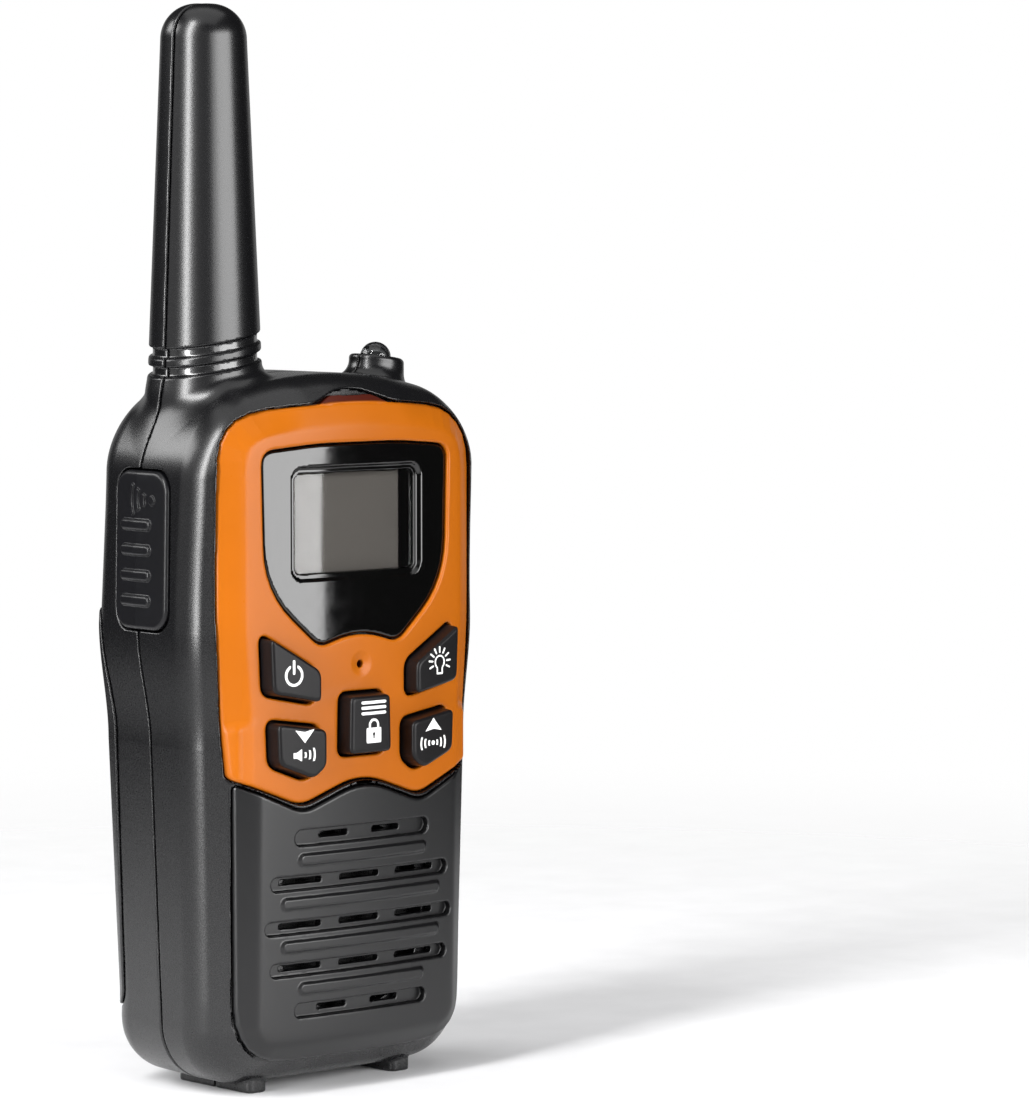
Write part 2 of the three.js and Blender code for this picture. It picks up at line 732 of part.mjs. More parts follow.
function contactSpring(column) {
  const x = (column - 1) * CELL_PITCH;
  const flip = column === 1;
  const turns = 3;
  const stepsPerTurn = 8;
  const low = flip ? 70.2 : 15.6;
  const rise = flip ? 2.6 : 3;
  const points = [];
  for (let i = 0; i <= turns * stepsPerTurn; i += 1) {
    const share = i / (turns * stepsPerTurn);
    const angle = share * turns * 2 * Math.PI;
    const radius = flip ? 2.6 + 1.4 * share : 4 - 1.4 * share;
    const z = low + rise * share;
    points.push(new THREE.Vector3(radius * Math.cos(angle), radius * Math.sin(angle), z));
  }
  return wireAlong(points, 0.35).translate([x, CELL_Y, 0]);
}

function contactPlate(zLow) {
  return box(-21, 21, CELL_Y - 5, CELL_Y + 5, zLow, zLow + 0.5);
}

function shellScrew(place) {
  const [x, z] = screwPlaces[place];
  const profile = [[0, 13], [1.1, 14], [1.1, 27.4], [2.4, 27.4], [2.4, 29], [1.2, 29], [1.2, 28.3], [0, 28.3]];
  return turnedBack(profile, x, z, 12);
}

// ---- Materials ----
function plastic(color, roughness = 0.6) {
  return new THREE.MeshStandardMaterial({ color, roughness, metalness: 0 });
}

function metal(color, roughness = 0.35) {
  return new THREE.MeshStandardMaterial({ color, roughness, metalness: 1 });
}

const charcoal = () => plastic(0x2f2f33, 0.62);
const orange = () => plastic(0xe87d22, 0.35);
const keyGrey = () => plastic(0x3a393c, 0.45);
const rubber = () => plastic(0x2b2b2e, 0.85);
const boardGreen = () => plastic(0x1e5a34, 0.6);

// ---- Assembly ----
// The talk button stands proud on one side, so the whole is shifted to centre it on the origin
const object = new THREE.Group();

function place(name, solid, material) {
  const mesh = new THREE.Mesh(geometryOf(solid), material);
  mesh.name = name;
  object.add(mesh);
}

place('front_shell', frontShell(), charcoal());
place('rear_shell', rearShell(), charcoal());
place('bezel_frame', bezelFrame(), orange());
place('display_lens', displayLens(), plastic(0x101012, 0.08));
place('lcd_panel', lcdPanel(), plastic(0x73706a, 0.3));
place('lcd_backlight', lcdBacklight(), plastic(0xe8e8e0, 0.4));
place('lcd_connector', lcdConnector(), rubber());
for (const [name, corners] of Object.entries(keyCorners)) {
  place(name, key(corners), keyGrey());
}
place('keypad_membrane', keypadMembrane(), rubber());
place('microphone', microphone(), metal(0xb8b8b8));
place('microphone_boot', microphoneBoot(), rubber());
place('speaker_grille', speakerGrille(), charcoal());
place('grille_cloth', grilleCloth(), plastic(0x151515, 0.95));
place('speaker_basket', speakerBasket(), metal(0x9a9a9a));
place('speaker_cone', speakerCone(), plastic(0x1a1a1a, 0.8));
place('speaker_magnet', speakerMagnet(), metal(0x8c8c90));
place('main_board', mainBoard(), boardGreen());
place('radio_shield', radioShield(), metal(0xc4c6c8));
place('control_chip', controlChip(), plastic(0x141416, 0.5));
place('talk_button', talkButton(), rubber());
place('talk_switch', talkSwitch(), plastic(0x1a1a1c, 0.5));
place('antenna_coil', antennaCoil(), metal(0xb87333));
place('antenna_core', antennaCore(), plastic(0xe6e2d6, 0.6));
place('torch_lamp', torchLamp(), plastic(0xdde4ea, 0.05));
place('lamp_board', lampBoard(), boardGreen());
place('battery_cover', batteryCover(), charcoal());
place('cover_latch', coverLatch(), charcoal());
for (let column = 0; column < 3; column += 1) {
  place(`battery_cell_${column + 1}`, batteryCell(column), metal(0xb0b2b5));
  place(`contact_spring_${column + 1}`, contactSpring(column), metal(0xc8c8c8));
}
place('contact_plate_upper', contactPlate(73.15), metal(0xc8c8c8));
place('contact_plate_lower', contactPlate(14.6), metal(0xc8c8c8));
for (let i = 0; i < screwPlaces.length; i += 1) {
  place(`shell_screw_${i + 1}`, shellScrew(i), metal(0x8a8a8a));
}

const bounds = new THREE.Box3().setFromObject(object);
const centre = bounds.getCenter(new THREE.Vector3());
object.position.set(-centre.x, -centre.y, -bounds.min.z);

export default object;
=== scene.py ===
"""Handheld two way radio: the looks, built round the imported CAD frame.

The pieces seen from outside are smooth skins drawn over fields, and most inner ones keep the
CAD's shape. A field takes places in millimetres, measured in the radio's own axes (x from the
middle plane, y back from the front face, z up from the sole of the feet), and gives a number
that is below zero inside the solid.
"""
import math
from functools import reduce

import bpy
import numpy as np
from mathutils import Matrix, Vector


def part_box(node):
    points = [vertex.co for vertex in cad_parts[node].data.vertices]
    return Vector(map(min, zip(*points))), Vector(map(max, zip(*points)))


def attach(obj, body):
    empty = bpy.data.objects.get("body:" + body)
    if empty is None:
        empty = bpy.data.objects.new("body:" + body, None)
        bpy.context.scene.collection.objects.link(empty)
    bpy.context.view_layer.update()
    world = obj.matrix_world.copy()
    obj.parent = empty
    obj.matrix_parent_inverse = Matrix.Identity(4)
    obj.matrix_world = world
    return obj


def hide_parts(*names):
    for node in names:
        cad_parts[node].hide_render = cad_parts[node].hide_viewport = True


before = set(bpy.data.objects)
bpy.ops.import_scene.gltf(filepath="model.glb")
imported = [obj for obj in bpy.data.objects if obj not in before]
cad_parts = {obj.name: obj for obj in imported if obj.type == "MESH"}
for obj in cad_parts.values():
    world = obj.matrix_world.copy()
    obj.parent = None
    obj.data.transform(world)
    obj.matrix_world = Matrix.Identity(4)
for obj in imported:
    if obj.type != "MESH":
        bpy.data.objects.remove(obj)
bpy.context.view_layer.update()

MM = 0.001

# ---- Where the radio's own axes lie in the frame ----
LENS_SINK = 0.4
MENU_KEY_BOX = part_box("menu_key")
ORIGIN = np.array([
    (MENU_KEY_BOX[0][0] + MENU_KEY_BOX[1][0]) / 2 / MM,
    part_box("display_lens")[0][1] / MM - LENS_SINK,
    0.0,
])

# ---- Driving dimensions, in millimetres, and slopes ----
# The housing
BODY_BOTTOM = 1.6
WAIST_LOW = 55
WAIST_HIGH = 73
WALL = 2
GAP = 0.25
CLEARANCE = 0.3
SEAM_HALF = 0.2
SCREW_PLACES = [(-22, 101), (22, 101), (-19.5, 8.4), (19.5, 8.4)]
BORE_RADIUS = 1.5
BORE_FRONT = 9
HEAD_ROOM_RADIUS = 2.9
HEAD_ROOM_FRONT = 27

# The front: a crowned plateau, sloping bands beside it, and a rim that stands out round them
CROWN = 0.0028
PLATEAU_HALF = 22.3
BAND_SLOPE = 0.72
TOP_BAND_SLOPE = 0.36
BAND_WIDTH = 3.7
RIM_PROUD = 0.45
RIM_MARGIN = 0.7
PLATE_DEPTH = 2.3
NOTCH_HEIGHT = 97.2
NOTCH_RADIUS = 12.9
TAB_DEPTHS = (1.4, 3.3)
KEY_BACK = 6.9
LCD_HEIGHT = 88.6
MIC_HEIGHT = 67.1
KEY_PROUD = 2.6

# The antenna and the torch
ANTENNA_X = -16.1
ANTENNA_Y = 18.6
ANTENNA_HEIGHT = 170
GROOVES = (114.25, 117.15)
GROOVE_LEAN = 0.17
LAMP_X = 19
LAMP_Y = 18.7
DOME_HEIGHT = 114.2
CUP_LOW = 110.6

# The loudspeaker's panel. Slots: height, half length, half height. Bars: height, half length.
# Openings in a slot: middle, half length.
PANEL_PROUD = 0.72
SPEAKER_HEIGHT = 27
SLOT_ROWS = [(40.7, 13.6, 1.3), (33.7, 18, 1.15), (26.8, 19.0, 1.1), (20.2, 18, 1.1), (13.6, 13.4, 1.15)]
BAR_ROWS = [(37.3, 13), (30.6, 16.2), (23.85, 16.15), (17.1, 12.8)]
LONG_SLOTS = [(-11.65, 4.35), (0, 4.3), (11.65, 4.35)]
SHORT_SLOTS = [(-5.35, 3.15), (5.35, 3.15)]

# The talk button: y and z of its middle, half its size, and how far out its inner face and the
# pocket's floor lie
PTT_MIDDLE = (18.4, 85.35)
PTT_HALF = (6.8, 12.35)
PTT_INNER = 25.4
PTT_FLOOR = 24.6
GRIP_LOW = 77.5
GRIP_PITCH = 3.93

# The battery side
COVER_THICKNESS = 1.8
COVER_PROUD = 0.35
COVER_LOW = 12.5
COVER_HIGH = 75.5
LATCH_HEIGHT = 17.5
LATCH_FRONT = 28
BAY_HEIGHT = 44
CELL_PITCH = 14.9
CELL_RADIUS = 7.25
CELL_Y = 23.4
CELL_LOW = 19.2
CELL_HIGH = 69.7

# The skins' grid: how coarse it is, and how many layers are worked out at a time
COARSE = 1.0
SLAB = 64


# ---- Combining fields ----
def meet(a, b, radius=0.0):
    """Where both solids are, with the edge between them rounded."""
    round_part = np.hypot(np.maximum(a + radius, 0), np.maximum(b + radius, 0))
    return np.minimum(np.maximum(a, b), -radius) + round_part


def join(a, b, radius=0.0):
    """Either solid, with a fillet where they meet."""
    return -meet(-a, -b, radius)


def cut(a, b, radius=0.0):
    """The first solid without the second."""
    return meet(a, -b, radius)


def union(solids):
    """Any of the solids, with sharp edges where they meet."""
    return reduce(np.minimum, solids)


def step(low, high, value):
    """Smooth rise from 0 at low to 1 at high, whichever of the two is larger."""
    t = np.clip((value - low) / (high - low), 0, 1)
    return t * t * (3 - 2 * t)


def bend(value, width):
    """Zero below zero, the value itself above it, with a soft turn as wide as width."""
    return 0.5 * (value + np.sqrt(value * value + width * width)) - 0.25 * width


def between(value, low, high):
    return np.abs(value - (low + high) / 2) - (high - low) / 2


def rounded_rectangle(a, b, half_a, half_b, radius):
    past_a = np.abs(a) - half_a + radius
    past_b = np.abs(b) - half_b + radius
    outside = np.hypot(np.maximum(past_a, 0), np.maximum(past_b, 0))
    return outside + np.minimum(np.maximum(past_a, past_b), 0) - radius


def segment(a, b, start, end):
    """Distance from a straight stroke between two points."""
    along_a = end[0] - start[0]
    along_b = end[1] - start[1]
    share = ((a - start[0]) * along_a + (b - start[1]) * along_b) / (along_a ** 2 + along_b ** 2)
    share = np.clip(share, 0, 1)
    return np.hypot(a - start[0] - share * along_a, b - start[1] - share * along_b)


def ball(x, y, z, centre, radius):
    return np.sqrt((x - centre[0]) ** 2 + (y - centre[1]) ** 2 + (z - centre[2]) ** 2) - radius


def from_antenna(x, y):
    return np.hypot(x - ANTENNA_X, y - ANTENNA_Y)


def from_lamp(x, y):
    return np.hypot(x - LAMP_X, y - LAMP_Y)


class Outline:
    """A closed outline through corners (a, b, rounding), read back as a signed distance."""

    SPACING = 0.12
    REACH = 5.0
    TURN_STEPS = 7

    def __init__(self, corners):
        points = self.points(corners)
        self.low = points.min(axis=0) - self.REACH
        counts = np.ceil((points.max(axis=0) + self.REACH - self.low) / self.SPACING).astype(int) + 1
        a = self.low[0] + self.SPACING * np.arange(counts[0])[:, None]
        b = self.low[1] + self.SPACING * np.arange(counts[1])[None, :]
        self.table = self.measure(points, a, b)

    def points(self, corners):
        result = []
        for index, (a, b, rounding) in enumerate(corners):
            corner = np.array([a, b], float)
            before = np.array(corners[index - 1][:2], float) - corner
            after = np.array(corners[(index + 1) % len(corners)][:2], float) - corner
            start = corner + before / np.linalg.norm(before) * rounding
            end = corner + after / np.linalg.norm(after) * rounding
            for t in np.linspace(0, 1, self.TURN_STEPS):
                result.append((1 - t) ** 2 * start + 2 * t * (1 - t) * corner + t * t * end)
        return np.array(result)

    @staticmethod
    def measure(points, a, b):
        nearest = np.full(np.broadcast(a, b).shape, 1e9)
        inside = np.zeros(nearest.shape, bool)
        for start, end in zip(points, np.roll(points, -1, axis=0)):
            nearest = np.minimum(nearest, segment(a, b, start, end))
            if start[1] != end[1]:
                spans = (start[1] > b) != (end[1] > b)
                meets = start[0] + (b - start[1]) / (end[1] - start[1]) * (end[0] - start[0])
                inside ^= spans & (a < meets)
        return np.where(inside, -nearest, nearest)

    def __call__(self, a, b):
        rows, columns = self.table.shape
        u = np.clip((a - self.low[0]) / self.SPACING, 0, rows - 1.001)
        v = np.clip((b - self.low[1]) / self.SPACING, 0, columns - 1.001)
        i = u.astype(int)
        j = v.astype(int)
        u = u - i
        v = v - j
        lower = self.table[i, j] * (1 - u) + self.table[i + 1, j] * u
        upper = self.table[i, j + 1] * (1 - u) + self.table[i + 1, j + 1] * u
        return lower * (1 - v) + upper * v


def mirrored(corners):
    return [(-a, b, rounding) for a, b, rounding in reversed(corners)]


# ---- Body form ----
def waist(z):
    return step(WAIST_LOW, WAIST_HIGH, z)


def below(z):
    return np.maximum(0, WAIST_LOW - z)


def above(z):
    return np.maximum(0, z - WAIST_HIGH)


def seam_at(z):
    return 17.3 + 1.8 * waist(z) - 0.02 * below(z) - 1.4 * step(98, 113, z)


def crown(x):
    """How far the front face lies back at x, level outside the plateau."""
    return CROWN * np.minimum(np.abs(x), PLATEAU_HALF) ** 2


def edge_slope(x):
    """How steeply the bezel's outer band falls away, gentler along its top edge."""
    return TOP_BAND_SLOPE + (BAND_SLOPE - TOP_BAND_SLOPE) * step(9, 19, np.abs(x))


def body(x, y, z):
    """The whole housing without antenna, torch boss and feet."""
    # Half width, front and back at this height
    draft = 0.1 * np.maximum(0, y - seam_at(z))
    side_at = 28.3 + waist(z) - 0.026 * below(z) - 0.02 * above(z) - draft
    front_at = 0.5 * (1 - waist(z)) + 0.009 * below(z) - RIM_PROUD
    back_at = 34.2 + 0.9 * waist(z) - 0.031 * below(z) - 0.055 * above(z)
    # The crowned front, as a distance along its own slope
    past_plateau = bend(np.abs(x) - PLATEAU_HALF, 0.8)
    skin_at = front_at + crown(x) + BAND_SLOPE * past_plateau
    front = (skin_at - RIM_MARGIN - y) / np.sqrt(1 + (BAND_SLOPE * step(0, 1.5, past_plateau)) ** 2)
    # The outline with its round corners
    top = z - (112.45 - 0.0068 * x * x)
    sides = meet(np.abs(x) - side_at, top, 10.5)
    sides = meet(sides, BODY_BOTTOM - z, 9.5)
    # The bevel that leads from the sides up to the rim round the bezel
    rim_depth = crown(x) + BAND_WIDTH * edge_slope(x)
    toward_corner = step(76, 106, z) * step(12, 25, np.abs(x))
    rim_depth = rim_depth - 0.08 * waist(z) - 1.15 * toward_corner + 0.6 * step(16, 7, z)
    rim_inset = 3.36 + 0.8 * step(19, 5, np.abs(x))
    bevel = 0.75 * (sides + rim_inset) - 0.66 * (y - front_at - rim_depth)
    back_edge = 7.5 - 0.5 * step(90, 106, z) - 1.5 * step(16, 4, z)
    face = meet(meet(sides, bevel, 1.8), front, 0.6)
    return meet(face, y - back_at, back_edge)


def antenna(x, y, z):
    across = from_antenna(x, y)
    radius_at = 8.8 - 0.04235 * (z - 116.1) + 0.35 * step(113, 109, z)
    sleeve = meet((across - radius_at) * 0.999, z - ANTENNA_HEIGHT, 5.3)
    for height in GROOVES:
        rise = z - height - GROOVE_LEAN * (x - ANTENNA_X)
        sleeve = cut(sleeve, meet(between(rise, -0.74, 0.74), 8.15 - across, 0.3), 0.35)
    return meet(sleeve, 100 - z)


def torch_boss(x, y, z):
    across = from_lamp(x, y)
    rim = z - (114.4 - 0.14 * (x - LAMP_X))
    rear_step = np.where(y > seam_at(z), 0.35, 0)
    post = meet(across - 4.6 + rear_step, rim, 0.7)
    return meet(post, 100 - z)


def torch_bore(x, y, z):
    across = from_lamp(x, y)
    wide = meet(across - 3.4, between(z, 100, 109.6))
    narrow = meet(across - 2.75, 109 - z)
    return join(wide, narrow)


def foot(x, y, z):
    plan = rounded_rectangle(np.abs(x) - 14.8, y - 16.6, 2, 9, 1.2)
    return meet(plan, between(z, 0, 6), 0.3)


def housing(x, y, z):
    whole = join(body(x, y, z), antenna(x, y, z), 2.3)
    whole = join(whole, torch_boss(x, y, z), 3.2)
    return join(whole, foot(x, y, z), 0.5)


# ---- Front outlines, in x and z ----
def both_sides(lowest, half, highest):
    """All corners of an outline, from its right half and the two corners on the middle line."""
    return [lowest, *half, highest, *mirrored(half)]


BEZEL_HALF = [
    (12, 45.7, 2.2), (24.1, 50.5, 0.9), (24.5, 56, 2), (25.7, 72, 5), (25.7, 106.2, 9), (13, 107.5, 4),
]
PANEL_HALF = [(22.8, 5.8, 9), (23.4, 49.5, 0.8), (12, 44.6, 2.2)]
WINDOW_CORNERS = [
    (0, 72.4, 5), (8, 70, 2), (18.6, 79.2, 7), (19.1, 101, 2.5), (8, 101.9, 3),
    (-8, 101.9, 3), (-19.1, 101, 2.5), (-18.6, 79.2, 7), (-8, 70, 2),
]
UPPER_KEY = [(9.5, 61.5, 1.4), (19, 63.4, 1.4), (19.4, 72.6, 1.4), (9.5, 66.9, 1.4)]
LOWER_KEY = [
    (8.5, 51.7, 1.2), (11.2, 49.7, 1.4), (17.9, 52.3, 1.4), (18.2, 59.2, 1.4), (8.5, 57.8, 1.4),
]
MIDDLE_KEY = [(-4.5, 53, 1.3), (4.5, 53, 1.3), (4.3, 62.6, 1.3), (-4.3, 62.6, 1.3)]

BEZEL_OUTLINE = Outline(both_sides((0, 50, 5), BEZEL_HALF, (0, 108.3, 5)))
PANEL_OUTLINE = Outline(both_sides((0, 5.5, 5), PANEL_HALF, (0, 48.9, 5)))
WINDOW_OUTLINE = Outline(WINDOW_CORNERS)
KEY_OUTLINES = {
    "power_key": Outline(mirrored(UPPER_KEY)),
    "light_key": Outline(UPPER_KEY),
    "monitor_key": Outline(mirrored(LOWER_KEY)),
    "scan_key": Outline(LOWER_KEY),
    "menu_key": Outline(MIDDLE_KEY),
}


def key_holes(x, z, gap):
    return union(outline(x, z) - gap for outline in KEY_OUTLINES.values())


def face_at(x):
    """Depth of the crowned front at x, with its sloping side bands."""
    return crown(x) + BAND_SLOPE * bend(np.abs(x) - PLATEAU_HALF, 0.8)


def bezel_back(x, z):
    """Depth of the bezel's back, further in behind its sloping top edge."""
    return face_at(x) + PLATE_DEPTH + 1.3 * step(100, 105, z)


# ---- Shells ----
def from_screws(x, z):
    """Distance from the axis of the nearest screw."""
    return union(np.hypot(x - place_x, z - place_z) for place_x, place_z in SCREW_PLACES)


def screw_bosses(x, y, z):
    across = from_screws(x, z)
    bore = meet(across - BORE_RADIUS, between(y, BORE_FRONT, 40))
    boss = cut(meet(across - 3.4, 5 - y), bore)
    return cut(boss, meet(across - HEAD_ROOM_RADIUS, HEAD_ROOM_FRONT - y, 0.2), 0.2)


def screw_pits(x, y, z):
    across = from_screws(x, z)
    bore = meet(across - BORE_RADIUS, BORE_FRONT - y)
    return np.minimum(bore, meet(across - HEAD_ROOM_RADIUS, HEAD_ROOM_FRONT - y))


def hollow_housing(x, y, z):
    outer = housing(x, y, z)
    room = meet(body(x, y, z) + WALL, 6.4 - y, 0.5)
    taper = 0.034 * np.maximum(0, z - 114)
    antenna_room = meet(from_antenna(x, y) - 6.4 + taper, between(z, 104, 164))
    shell = cut(outer, np.minimum(room, antenna_room))
    shell = cut(shell, torch_bore(x, y, z), 0.3)
    bosses = meet(screw_bosses(x, y, z), body(x, y, z) + 1)
    shell = np.minimum(shell, bosses)
    return cut(shell, screw_pits(x, y, z), 0.2)


def talk_pocket(x, y, z):
    across = y - PTT_MIDDLE[0]
    up = z - PTT_MIDDLE[1]
    outline = rounded_rectangle(across, up, PTT_HALF[0] + GAP, PTT_HALF[1] + GAP, 3.4)
    return meet(outline, x + PTT_FLOOR)


def scallop(x, z):
    """Shallow finger notch in the rim above the bezel."""
    return np.hypot(x, z - NOTCH_HEIGHT) - NOTCH_RADIUS


def front_shell(x, y, z):
    shell = meet(hollow_housing(x, y, z), y - (seam_at(z) - SEAM_HALF), 0.3)
    pocket = join(BEZEL_OUTLINE(x, z) - GAP, scallop(x, z), 1.2)
    pocket = np.minimum(pocket, PANEL_OUTLINE(x, z) - GAP)
    shell = cut(shell, meet(pocket, y - bezel_back(x, z) - CLEARANCE), 0.35)
    display = rounded_rectangle(x, z - LCD_HEIGHT, 17.2, 11.6, 2)
    sound = np.hypot(x, z - SPEAKER_HEIGHT) - 15
    voice = np.hypot(x, z - MIC_HEIGHT) - 1.2
    openings = union([display, sound, voice, key_holes(x, z, 0.5)])
    shell = cut(shell, meet(openings, y - 9), 0.1)
    return cut(shell, talk_pocket(x, y, z), 0.3)


def cover_zone(y, z):
    """The battery cover's outline as seen from the side."""
    edge = 27.2 + 3.3 * step(56, 75, z)
    return meet(edge - y, between(z, COVER_LOW, COVER_HIGH), 3)


def rear_shell(x, y, z):
    shell = meet(hollow_housing(x, y, z), seam_at(z) + SEAM_HALF - y, 0.3)
    form = body(x, y, z)
    rail_outline = rounded_rectangle(x, z - 93, 8, 11, 1.2)
    rail = meet(meet(rail_outline, form - 1.5, 0.4), 30 - y)
    shell = join(shell, cut(rail, form + 1), 0.6)
    slot = meet(rounded_rectangle(x, z - 93.5, 5, 7.5, 0.8), 33.4 - y, 0.2)
    shell = cut(shell, slot, 0.3)
    zone = cover_zone(y, z)
    inner_skin = form + COVER_THICKNESS + CLEARANCE
    ledge = meet(cut(form + 1, -(form + 3.5)), zone - 2.2)
    shell = np.minimum(shell, ledge)
    shell = cut(shell, meet(zone - GAP, -inner_skin), 0.25)
    bay = meet(rounded_rectangle(x, z - BAY_HEIGHT, 22.5, 29.8, 1), 15.9 - y)
    tray_outline = rounded_rectangle(x, z - BAY_HEIGHT, 23.9, 31.2, 1.5)
    tray = meet(meet(tray_outline, 14.5 - y), inner_skin, 0.3)
    shell = cut(np.minimum(shell, tray), bay, 0.3)
    return cut(shell, talk_pocket(x, y, z), 0.3)


# ---- Front pieces ----
def bezel_skin(x, z):
    """Depth of the bezel's face: a plateau with sloping bands that follow its outline."""
    from_edge = -BEZEL_OUTLINE(x, z)
    half = np.abs(x)
    upper = step(58.2, 60.2, z + 0.25 * (half - 21))
    band = edge_slope(x) * bend(BAND_WIDTH - from_edge, 0.6) * upper
    facet = (0.3 * bend(half - 20.7, 0.3) + 0.9 * bend(half - 23.2, 0.3)) * (1 - upper)
    return crown(x) + band + facet


def painted_side_shade(x, y, z):
    """One on the bezel's sides and tab, which are coloured dark maroon as painted shade, zero on its
    face.
    """
    side = step(0.75, 1.0, y - bezel_skin(x, z))
    return np.maximum(side, step(-0.1, 0.15, BEZEL_OUTLINE(x, z)))


def bezel_frame(x, y, z):
    depth = y - bezel_skin(x, z)
    back = y - bezel_back(x, z)
    plate = meet(meet(BEZEL_OUTLINE(x, z), -depth, 0.5), back, 0.2)
    tab = meet(scallop(x, z) + 0.25, between(y - face_at(x), *TAB_DEPTHS), 0.2)
    tab = meet(tab, body(x, y, z) + 0.35, 0.2)
    plate = np.minimum(plate, meet(tab, 104 - z))
    plate = cut(plate, WINDOW_OUTLINE(x, z), 0.45)
    plate = cut(plate, key_holes(x, z, 0.35), 0.35)
    plate = cut(plate, ball(x, y, z, (0, -2.8, MIC_HEIGHT), 3.1), 0.4)
    return cut(plate, np.hypot(x, z - MIC_HEIGHT) - 0.62, 0.15)


def lens_window(x, z, grow=0.0):
    """Opening in the black lens over the display's picture."""
    return rounded_rectangle(x + 0.05, z - 89.4, 12.15 + grow, 7.85 + grow, 1.2 + grow)


def lens_depth(x, y):
    """Depth behind the lens's crowned face."""
    return y - CROWN * x * x - LENS_SINK


def display_lens(x, y, z):
    depth = lens_depth(x, y)
    dip = 0.6 * step(0.35, -0.3, lens_window(x, z, 0.9))
    plate = meet(meet(WINDOW_OUTLINE(x, z) + GAP, dip - depth, 0.5), depth - 1.6, 0.1)
    return cut(plate, lens_window(x, z), 0.12)


def display_pane(x, y, z):
    return meet(lens_window(x, z, -0.04), between(lens_depth(x, y), 0.65, 1.15), 0.06)


def lcd_panel(x, y, z):
    glass = rounded_rectangle(x, z - LCD_HEIGHT, 16.5, 10.9, 0.3)
    return meet(glass, between(y, 3.52, 5.08), 0.12)


def lcd_mask(x, y, z):
    """Dark frame printed on the display glass round its picture area."""
    frame_outer = rounded_rectangle(x, z - LCD_HEIGHT, 16.2, 10.6, 0.3)
    frame_inner = rounded_rectangle(x + 1.1, z - 89.2, 11.6, 8.9, 0.4)
    return cut(meet(frame_outer, between(y, 3.34, 3.5), 0.04), frame_inner, 0.04)


def key_top(x):
    """Depth of the keys' crowned tops, in front of the face."""
    return -KEY_PROUD + CROWN * x * x


def key(outline):
    def field(x, y, z):
        draft = 0.09 * np.maximum(0, 1.2 - y)
        cap = meet(outline(x, z) + draft, key_top(x) - y, 0.55)
        return meet(cap, y - KEY_BACK, 0.2)
    return field


def panel_skin(x, z):
    """Depth of the dark panel's face: it falls away round its edge and rises at the bars."""
    plateau = rounded_rectangle(x, z - 38.7, 19.6, 30, 3)
    fall = 0.62 * bend(plateau - 0.2, 0.6)
    lean = 0.02 * (40 - z)
    bars = union(
        segment(x, z, (-length + 0.9, height), (length - 0.9, height)) - 0.85
        for height, length in BAR_ROWS
    )
    return CROWN * x ** 2 - PANEL_PROUD + lean + fall - 0.42 * step(0.3, -0.35, bars)


def speaker_grille(x, y, z):
    depth = y - panel_skin(x, z)
    plate = meet(meet(PANEL_OUTLINE(x, z), -depth, 0.45), y - face_at(x) - PLATE_DEPTH, 0.2)
    for index, (height, length, half_height) in enumerate(SLOT_ROWS):
        stroke = segment(x, z, (-length + half_height, height), (length - half_height, height))
        pit = meet(stroke - half_height, depth - 1.25, 0.2)
        plate = cut(plate, pit, 0.25)
        openings = SHORT_SLOTS if index in (0, 4) else LONG_SLOTS
        for middle, half_length in openings:
            hole = rounded_rectangle(x - middle, z - height - 0.15, half_length - 0.3, 0.42, 0.4)
            plate = cut(plate, hole, 0.15)
    return plate


# ---- Talk button ----
def talk_button(x, y, z):
    across = y - PTT_MIDDLE[0]
    up = z - PTT_MIDDLE[1]
    outline = rounded_rectangle(across, up, *PTT_HALF, 3.5)
    form = body(x, y, z)
    cap = meet(outline, form - 0.5, 0.7)
    for index in range(4):
        height = GRIP_LOW + GRIP_PITCH * index
        bar = segment(y, z, (16.2, height), (22.4, height)) - 0.85
        cap = join(cap, meet(bar, form - 1.0, 0.5), 0.15)
    cap = join(cap, meet(wave_mark(y - 15.2, z - 93.2), form - 0.78, 0.15), 0.12)
    return meet(cap, x + PTT_INNER, 0.3)


def wave_mark(a, b):
    """A dot and three arcs: the common sign for sound, drawn about the dot."""
    mark = np.hypot(a, b) - 0.75
    for radius in (2.1, 3.7, 5.3):
        arc = np.abs(np.hypot(a, b) - radius) - 0.36
        mark = np.minimum(mark, meet(arc, np.abs(b) - 0.5 * a))
    return mark


# ---- Printed marks on the keys, each drawn about its own middle ----
def triangle(a, b):
    """Upright arrowhead with a slightly hollow base."""
    half_width = 1.85
    half_height = 1.05
    slant = math.hypot(2 * half_height, half_width)
    sides = (np.abs(a) * 2 * half_height + (b - half_height) * half_width) / slant
    base = -b - half_height + 0.35 * (1 - np.abs(a) / half_width)
    return meet(sides, base, 0.05)


def power_mark(a, b):
    ring = np.abs(np.hypot(a, b + 0.25) - 1.5) - 0.23
    ring = meet(ring, 0.62 - np.where(b > -0.25, np.abs(a), 9))
    return np.minimum(ring, segment(a, b, (0, 0.1), (0, 1.95)) - 0.23)


def bulb_mark(a, b):
    glass = np.abs(np.hypot(a, b - 0.1) - 1.0) - 0.15
    glass = cut(glass, np.maximum(np.abs(a) - 0.5, b))
    neck = np.maximum(np.abs(np.abs(a) - 0.55) - 0.14, between(b, -1.55, -0.7))
    base = np.maximum(np.abs(a) - 0.69, between(b, -1.85, -1.5))
    parts = [glass, neck, base]
    for index in range(9):
        angle = math.radians(-22 + 28 * index)
        turn_a = math.cos(angle)
        turn_b = math.sin(angle)
        ray = segment(a, b - 0.1, (1.6 * turn_a, 1.6 * turn_b), (2.35 * turn_a, 2.35 * turn_b))
        parts.append(ray - 0.16)
    return union(parts)


